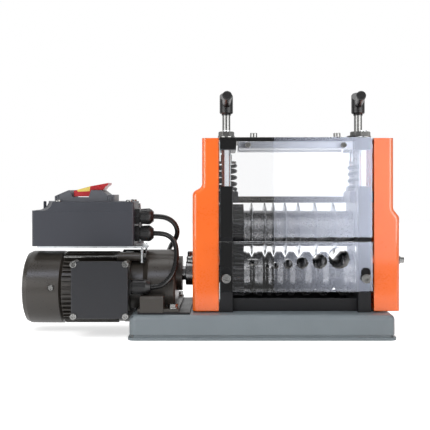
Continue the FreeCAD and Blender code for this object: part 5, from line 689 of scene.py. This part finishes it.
# %% [markdown]
# ## The clear guards
# The guard and the wire guide are cast acrylic. Its faces are polished and almost vanish.
# What makes a clear sheet readable is where it was cut: the wall of a drilled hole bends the
# light away and looks dark, with a bright rim, and a sawn edge is a frosted pale band. Here
# the dark of the hole walls is painted shade: they get a near-black colour. The large faces
# look along Y, so everything that looks another way is a cut. A cut close to the sheet's own
# outline is a sawn edge, and a cut further in is a hole. For rays that go to a lamp the sheet
# is simply transparent, so that it throws no dark shadow.


# %% Clear acrylic
ACRYLIC_TINT = (0.97, 0.975, 0.985, 1.0)
ACRYLIC_SHADOW = (0.95, 0.95, 0.96, 1.0)
ACRYLIC_IOR = 1.49
SAWN_EDGE = (0.62, 0.64, 0.68, 1.0)
# The near-black colour of the drilled hole walls is painted shade.
PAINTED_HOLE_SHADE = (0.045, 0.040, 0.032, 1.0)


def clear_sheet(name, hole_low, hole_high):
    """Cast acrylic with sawn edges; between the two heights every cut is a drilled hole."""
    finish, tree, shader, place = new_finish(name)
    normal = add(tree, "ShaderNodeTexCoord").outputs["Normal"]
    straight = math_of(tree, "ABSOLUTE", axes_of(tree, normal)[1])
    cut = spread_of(tree, straight, 0.0, 1.0, start=0.9, end=0.6)
    height = axes_of(tree, place)[2]
    above = math_of(tree, "GREATER_THAN", height, hole_low)
    below = math_of(tree, "LESS_THAN", height, hole_high)
    drilled = math_of(tree, "MULTIPLY", above, below)
    wear = {"Place": place, "Smooth": 0.0, "Dull": 0.05, "Patch Scale": 30.0}
    handled = group_node(tree, handling_group, wear)
    sawn = group_node(tree, brush_group, {"Place": place, "Stretch": (60.0, 1800.0, 60.0)})
    frost = spread_of(tree, sawn.outputs["Tone"], 0.12, 0.32)
    roughness = number_blend(tree, cut, handled.outputs["Roughness"], frost)
    tree.links.new(roughness, shader.inputs["Roughness"])
    # Drilled cuts take the painted hole shade, sawn cuts the frosted edge colour.
    cut_colour = blend_of(tree, drilled, SAWN_EDGE, PAINTED_HOLE_SHADE)
    tree.links.new(blend_of(tree, cut, ACRYLIC_TINT, cut_colour), shader.inputs["Base Color"])
    shader.inputs["Transmission Weight"].default_value = 1.0
    shader.inputs["IOR"].default_value = ACRYLIC_IOR
    clear = add(tree, "ShaderNodeBsdfTransparent", {"Color": ACRYLIC_SHADOW})
    to_lamp = add(tree, "ShaderNodeLightPath").outputs["Is Shadow Ray"]
    mixed = shader_blend(tree, to_lamp, shader, clear)
    output = next(node for node in tree.nodes if node.bl_idname == "ShaderNodeOutputMaterial")
    tree.links.new(mixed.outputs[0], output.inputs["Surface"])
    return finish


# %% [markdown]
# ## Galvanised sheet
# Zinc that freezes on steel forms flat crystals, the spangle. Voronoi cells are those
# crystals: each one has its own brightness and its own gloss. Its edges are painted half
# again as light, a painted highlight.


# %% Galvanised
CRYSTAL_SCALE = 130.0


def galvanised(name, colour):
    """Hot-dip zinc with its crystals and a painted highlight along its edges."""
    finish, tree, shader, place = new_finish(name)
    crystals = add(tree, "ShaderNodeTexVoronoi", {"Vector": place, "Scale": CRYSTAL_SCALE})
    level = add(tree, "ShaderNodeSeparateColor", {0: crystals.outputs["Color"]})
    edge_wear_and_sheen = group_node(tree, edges_group, {"Place": place, "Reach": METAL_EDGE_REACH})
    tone = tones_of(tree, level.outputs[0], colour, low=0.78, high=1.15)
    # Every edge is painted half again as light: a painted highlight.
    bright = blend_of(tree, edge_wear_and_sheen.outputs["Edge"], tone, shade(colour, 1.5))
    tree.links.new(bright, shader.inputs["Base Color"])
    tree.links.new(spread_of(tree, level.outputs[1], 0.28, 0.46), shader.inputs["Roughness"])
    tree.links.new(edge_wear_and_sheen.outputs["Normal"], shader.inputs["Normal"])
    shader.inputs["Metallic"].default_value = 0.85
    return finish


# %% [markdown]
# ## Mix the finishes
# The colours are the ones the machine has in the picture, as linear values. The two shafts
# lie at different heights, so turned steel and blackened gears are mixed once for each.

# %% Paints
# The fourth value of each paint is its lighter edge colour: wear, and also a painted highlight.
tray_enamel = enamel(
    "tray_enamel", (0.176, 0.207, 0.226), 0.34, 0.46, (0.42, 0.47, 0.50), peel=320.0
)
black_enamel = enamel(
    "black_enamel",
    (0.014, 0.0142, 0.016),
    0.32,
    0.46,
    (0.08, 0.08, 0.09),
    rub=0.6,
    gloss=0.2,
    peel=420.0,
)
orange_enamel = enamel(
    "orange_enamel",
    (1.0, 0.155, 0.008),
    0.26,
    0.36,
    (1.0, 0.42, 0.20),
    coat=0.8,
    gloss=0.3,
    reach=0.0040,
)
bronze_enamel = enamel(
    "bronze_enamel",
    (0.036, 0.031, 0.026),
    0.27,
    0.38,
    (0.16, 0.14, 0.12),
    peel=700.0,
    depth=0.00007,
    grain=0.5,
)
print("paints:", tray_enamel.name, black_enamel.name, orange_enamel.name, bronze_enamel.name)

# %% [markdown]
# Metals differ mostly in how rough they are and in which way their marks run. The chrome
# of the pillars is polished along its length, turned and ground parts carry rings around
# their own shaft, and the bars and the tie rod are brushed from end to end. Screws are too
# small for lines to show, so their marks have no direction.

# %% Metals
LOWER_AXIS = (0.0, 0.0, 0.0915)
UPPER_AXIS = (0.0, 0.0, 0.1635)
even_lines = (brush_group, {"Stretch": (500.0, 500.0, 500.0)})
lower_rings = (rings_group, {"Axis": LOWER_AXIS})
upper_rings = (rings_group, {"Axis": UPPER_AXIS})
upright_lines = (brush_group, {"Stretch": (900.0, 900.0, 12.0)})
long_lines = (brush_group, {"Stretch": (6.0, 1200.0, 1200.0)})
blade_rings = (rings_group, {"Axis": UPPER_AXIS, "Fineness": 2600.0})

chrome = bare_metal(
    "chrome_plate",
    (0.70, 0.71, 0.73),
    0.05,
    0.12,
    upright_lines,
    contrast=0.03,
    depth=0.000004,
)
zinc_plate = bare_metal("zinc_plate", (0.26, 0.26, 0.255), 0.18, 0.30, even_lines, depth=0.00001)
stainless = bare_metal(
    "stainless_screws", (0.30, 0.30, 0.295), 0.16, 0.26, even_lines, depth=0.00001
)
satin_aluminium = bare_metal(
    "satin_aluminium", (0.92, 0.93, 0.95), 0.30, 0.42, long_lines, contrast=0.08
)
# The upper shaft's steel and gear are mixed darker than the lower shaft's copies of the same
# finishes: painted shade.
lower_steel = bare_metal(
    "lower_shaft_steel", (0.20, 0.20, 0.205), 0.22, 0.32, lower_rings, depth=0.000006
)
upper_steel = bare_metal(
    "upper_shaft_steel", (0.16, 0.16, 0.165), 0.22, 0.32, upper_rings, depth=0.000006
)
lower_gear_black = bare_metal("lower_gear_black", (0.040, 0.040, 0.043), 0.26, 0.38, lower_rings)
upper_gear_black = bare_metal("upper_gear_black", (0.022, 0.022, 0.024), 0.26, 0.38, upper_rings)
rod_black = bare_metal("tie_rod_black", (0.070, 0.066, 0.060), 0.22, 0.34, long_lines)
ground_steel = bare_metal("ground_blade_steel", (0.50, 0.51, 0.53), 0.16, 0.28, blade_rings)
zinc_crystals = galvanised("galvanised_sheet", (0.60, 0.63, 0.65))
print("metals are mixed")

# %% [markdown]
# Most mouldings are close to black, so gloss and painted edge highlights tell them apart: the
# cord and the lever grips are the shiniest, the boxes the dullest. The clear sheets take the
# two heights between which their holes lie.

# %% Plastics, rubber and clear sheet
charcoal = plastic("charcoal_moulding", (0.030, 0.033, 0.044), 0.42, 0.55)
cover_charcoal = plastic("cover_moulding", (0.008, 0.009, 0.013), 0.42, 0.55)
switch_grey = plastic("switch_moulding", (0.085, 0.090, 0.105), 0.40, 0.52)
stop_red = plastic("stop_red_moulding", (0.45, 0.008, 0.014), 0.28, 0.38, edge=1.2)
inlay_yellow = plastic("inlay_yellow_moulding", (0.83, 0.64, 0.14), 0.30, 0.42, edge=1.05)
start_green = plastic("start_green_moulding", (0.02, 0.26, 0.06), 0.28, 0.38, edge=1.2)
black_moulding = plastic("black_moulding", (0.009, 0.009, 0.010), 0.32, 0.46, edge=3.0)
lever_moulding = plastic("lever_moulding", (0.012, 0.012, 0.013), 0.26, 0.40, edge=3.0)
black_spring = plastic("black_spring_coat", (0.005, 0.005, 0.006), 0.26, 0.40, edge=1.0)
cord_jacket = plastic(
    "cord_jacket", (0.006, 0.006, 0.0065), 0.24, 0.34, grain=900.0, depth=0.00002, edge=1.0
)
guard_acrylic = clear_sheet("guard_acrylic", hole_low=0.155, hole_high=0.243)
guide_acrylic = clear_sheet("guide_acrylic", hole_low=0.0735, hole_high=0.1415)
print("plastics are mixed")

# %% [markdown]
# ## Dress the parts
# Each finish goes on the parts that have it on the real machine. A CAD part keeps its mesh
# and its place; only the material in its slot changes.

# %% Put each finish on its parts
DRESSING = {
    tray_enamel: "base_tray",
    black_enamel: "left_wall right_wall left_cap right_cap top_plate chip_tray"
    " left_slide_block right_slide_block motor_plate",
    orange_enamel: "left_cover right_cover",
    bronze_enamel: "motor_housing fan_cover gearbox_housing gearbox_cover terminal_box",
    chrome: "guide_pillars",
    zinc_plate: "wall_bolts cap_nuts left_adjusting_screw right_adjusting_screw"
    " cover_bolts gearmotor_bolts box_screws",
    rod_black: "rear_tie_rod",
    stainless: "top_screws wire_guide_screws",
    satin_aluminium: "top_bars",
    lower_steel: "lower_bearings feed_roller shaft_coupling",
    upper_steel: "upper_bearings blade_shaft blade_spacers",
    lower_gear_black: "lower_gear",
    upper_gear_black: "upper_gear",
    ground_steel: "cutting_blades",
    black_spring: "left_spring right_spring",
    guard_acrylic: "upper_guard",
    guide_acrylic: "wire_guide",
    charcoal: "control_box control_lid",
    cover_charcoal: "terminal_cover",
    zinc_crystals: "control_bracket",
    switch_grey: "switch_housing",
    stop_red: "stop_paddle stop_button",
    inlay_yellow: "paddle_inlay",
    start_green: "start_button",
    black_moulding: "cooling_fan cable_glands",
    lever_moulding: "left_lever_grip right_lever_grip",
}
dressed = 0
for finish, names in DRESSING.items():
    for name in names.split():
        for holder in parts[name].material_slots:
            holder.material = finish
        dressed += 1
for piece, finish in (
    (motor_lead, cord_jacket),
    (supply_cord, cord_jacket),
    (plug_body, black_moulding),
    (plug_pins, zinc_plate),
    (coil_tie, black_moulding),
):
    piece.data.materials.append(finish)
print("parts dressed:", dressed)

# %% [markdown]
# ## The studio
# The floor is pale and runs out of sight. Camera rays, mirror rays and rays through the
# clear guards all see the same white behind the machine, while the light that falls on it
# stays at a plain level. Mirror rays that go forward find the pale table only as far as its
# front edge, and past it a dark room between the soft boxes. That gives round metal its
# bright stripes and dark sides, and keeps the clear guards clear.

# %% Floor
FLOOR_SIZE = 4.0
FLOOR_GREY, FLOOR_LIFT = 0.90, 0.64
TABLE_EDGE, EDGE_FADE = -0.52, 0.1
DARK_ROOM = 0.36
WHITE = (1.0, 1.0, 1.0, 1.0)

shape = bmesh.new()
bmesh.ops.create_grid(shape, x_segments=1, y_segments=1, size=FLOOR_SIZE)
mesh = bpy.data.meshes.new("studio_floor")
shape.to_mesh(mesh)
shape.free()
floor = bpy.data.objects.new("studio_floor", mesh)
bpy.context.scene.collection.objects.link(floor)

floor_finish = bpy.data.materials.new("studio_floor")
floor_finish.use_nodes = True
tree = floor_finish.node_tree
tree.nodes.clear()
path = add(tree, "ShaderNodeLightPath").outputs
direct = math_of(tree, "MAXIMUM", path["Is Camera Ray"], path["Is Transmission Ray"])
sees_floor = math_of(tree, "MAXIMUM", direct, path["Is Glossy Ray"])
matte = add(tree, "ShaderNodeBsdfDiffuse", {"Color": (FLOOR_GREY, FLOOR_GREY, FLOOR_GREY, 1.0)})
lift = add(tree, "ShaderNodeEmission", {"Color": WHITE, "Strength": FLOOR_LIFT})
lit = add(tree, "ShaderNodeAddShader", {0: matte.outputs[0], 1: lift.outputs[0]})
seen = shader_blend(tree, sees_floor, matte, lit)
forward = axes_of(tree, add(tree, "ShaderNodeTexCoord").outputs["Object"])[1]
past_edge = spread_of(tree, forward, 1.0, 0.0, start=TABLE_EDGE - EDGE_FADE, end=TABLE_EDGE)
dimmed = math_of(tree, "MULTIPLY", past_edge, path["Is Glossy Ray"])
unlit = add(tree, "ShaderNodeEmission", {"Color": WHITE, "Strength": DARK_ROOM})
table = shader_blend(tree, dimmed, seen, unlit)
add(tree, "ShaderNodeOutputMaterial", {"Surface": table.outputs[0]})
floor.data.materials.append(floor_finish)
print("floor is", 2 * FLOOR_SIZE, "m wide")

# %% [markdown]
# The world gives a soft even light from all round. For mirror rays it has a direction: white
# behind the machine and dark in front of it, as a room is behind the lamps.

# %% World
AMBIENT = 0.55
world = bpy.data.worlds.new("studio_room")
bpy.context.scene.world = world
world.use_nodes = True
tree = world.node_tree
tree.nodes.clear()
backward = axes_of(tree, add(tree, "ShaderNodeTexCoord").outputs["Generated"])[1]
room = spread_of(tree, backward, DARK_ROOM, 1.0, start=0.35, end=0.80)
path = add(tree, "ShaderNodeLightPath").outputs
direct = math_of(tree, "MAXIMUM", path["Is Camera Ray"], path["Is Transmission Ray"])
mirrored = number_blend(tree, path["Is Glossy Ray"], AMBIENT, room)
strength = number_blend(tree, direct, mirrored, 1.0)
background = add(tree, "ShaderNodeBackground", {"Color": WHITE, "Strength": strength})
add(tree, "ShaderNodeOutputWorld", {"Surface": background.outputs[0]})
print("ambient light:", AMBIENT)

# %% [markdown]
# Two soft boxes light the machine: a large one in front, above and to the left, and one
# overhead that draws the light lines along the top edges. A wide box on each side of the
# camera shows in mirror rays only and draws the bright stripes on chrome and steel.


# %% Lamps
def soft_box(name, place, aim, size, watts, colour=(1, 1, 1)):
    """A rectangular lamp of a width and height that looks at a point."""
    lamp = bpy.data.lights.new(name, "AREA")
    lamp.shape = "RECTANGLE"
    lamp.size, lamp.size_y = size
    lamp.energy = watts
    lamp.color = colour
    box = bpy.data.objects.new(name, lamp)
    box.location = place
    box.rotation_euler = (Vector(aim) - Vector(place)).to_track_quat("-Z", "Y").to_euler()
    box.visible_camera = False
    bpy.context.scene.collection.objects.link(box)
    return box


key_box = soft_box(
    "key_box", place=(-0.5, -1.65, 1.45), aim=(0.0, 0.0, 0.15), size=(1.0, 1.0), watts=21.0
)
key_box.visible_glossy = False
soft_box("top_box", place=(0.1, 0.3, 1.7), aim=(0.05, 0.0, 0.1), size=(1.4, 1.2), watts=12.0)

LEFT_OF_CAMERA, RIGHT_OF_CAMERA = (-1.02, -0.95, 0.42), (1.02, -0.95, 0.42)
for name, place, watts in (
    ("left_stripes", LEFT_OF_CAMERA, 8.0),
    ("right_stripes", RIGHT_OF_CAMERA, 9.0),
):
    stripes = soft_box(name, place, aim=(0.0, 0.0, place[2]), size=(1.2, 0.7), watts=watts)
    stripes.visible_diffuse = False
    stripes.visible_transmission = False

# %% [markdown]
# A polished sheet shows itself by what it mirrors. The clear guards mirror a cool panel to
# the right of the camera as a pale veil that starts in a straight line and grows to the
# right. A lamp can carry a pattern as a surface does: its Parametric output runs from 0 to
# 1 across it. A low panel does the same for the wire guide, one lays a pale sheen on the
# right cover, one high up draws the highlight on the bronze castings, and a narrow one on
# each side draws the light lines on the rounded edges of the covers and the top bars. Each
# panel is linked to the parts that mirror it, so that it puts no light on the parts beside
# them.


# %% Veil panels
COOL_LIGHT = (0.76, 0.82, 1.0)


def veil_panel(name, place, size, watts, mirrors, left_share=1.0, low_share=1.0):
    """A cool panel that the named parts mirror; it can fade to its left and to its foot."""
    panel = soft_box(name, place, (place[0], 0.0, place[2]), size, watts, COOL_LIGHT)
    panel.visible_diffuse = False
    panel.visible_transmission = False
    panel.data.use_nodes = True
    tree = panel.data.node_tree
    glow = next(node for node in tree.nodes if node.bl_idname == "ShaderNodeEmission")
    spot = axes_of(tree, add(tree, "ShaderNodeNewGeometry").outputs["Parametric"])
    across = spread_of(tree, spot[0], left_share, 1.0)
    upward = spread_of(tree, spot[1], low_share, 1.0)
    tree.links.new(math_of(tree, "MULTIPLY", across, upward), glow.inputs["Strength"])
    lit_by_it = bpy.data.collections.new(name)
    for part in mirrors.split():
        lit_by_it.objects.link(parts[part])
    panel.light_linking.receiver_collection = lit_by_it


veil_panel(
    "guard_veil",
    place=(0.3337, -1.31, 0.245),
    size=(0.3327, 0.34),
    watts=6.4,
    mirrors="upper_guard",
    left_share=0.2,
)
veil_panel(
    "guide_veil",
    place=(0.2247, -0.5, 0.067),
    size=(0.2107, 0.104),
    watts=1.1,
    mirrors="wire_guide",
    left_share=0.13,
    low_share=0.5,
)
veil_panel(
    "cover_veil",
    place=(0.58, -1.31, 0.1),
    size=(0.6, 1.2),
    watts=5.5,
    mirrors="right_cover",
    left_share=0.8,
)
for name, place in (("left_edge_light", LEFT_OF_CAMERA), ("right_edge_light", RIGHT_OF_CAMERA)):
    edged = "left_cover right_cover top_bars"
    veil_panel(name, place, size=(0.3, 0.7), watts=7.0, mirrors=edged)
veil_panel(
    "bronze_veil",
    place=(-0.45, -0.9, 1.0),
    size=(0.9, 0.35),
    watts=5.5,
    mirrors="motor_housing fan_cover gearbox_housing gearbox_cover",
)

# %% [markdown]
# ## Colours as written
# The Standard view transform shows colours as they were mixed, without a film look.

# %% View settings
bpy.context.scene.view_settings.view_transform = "Standard"
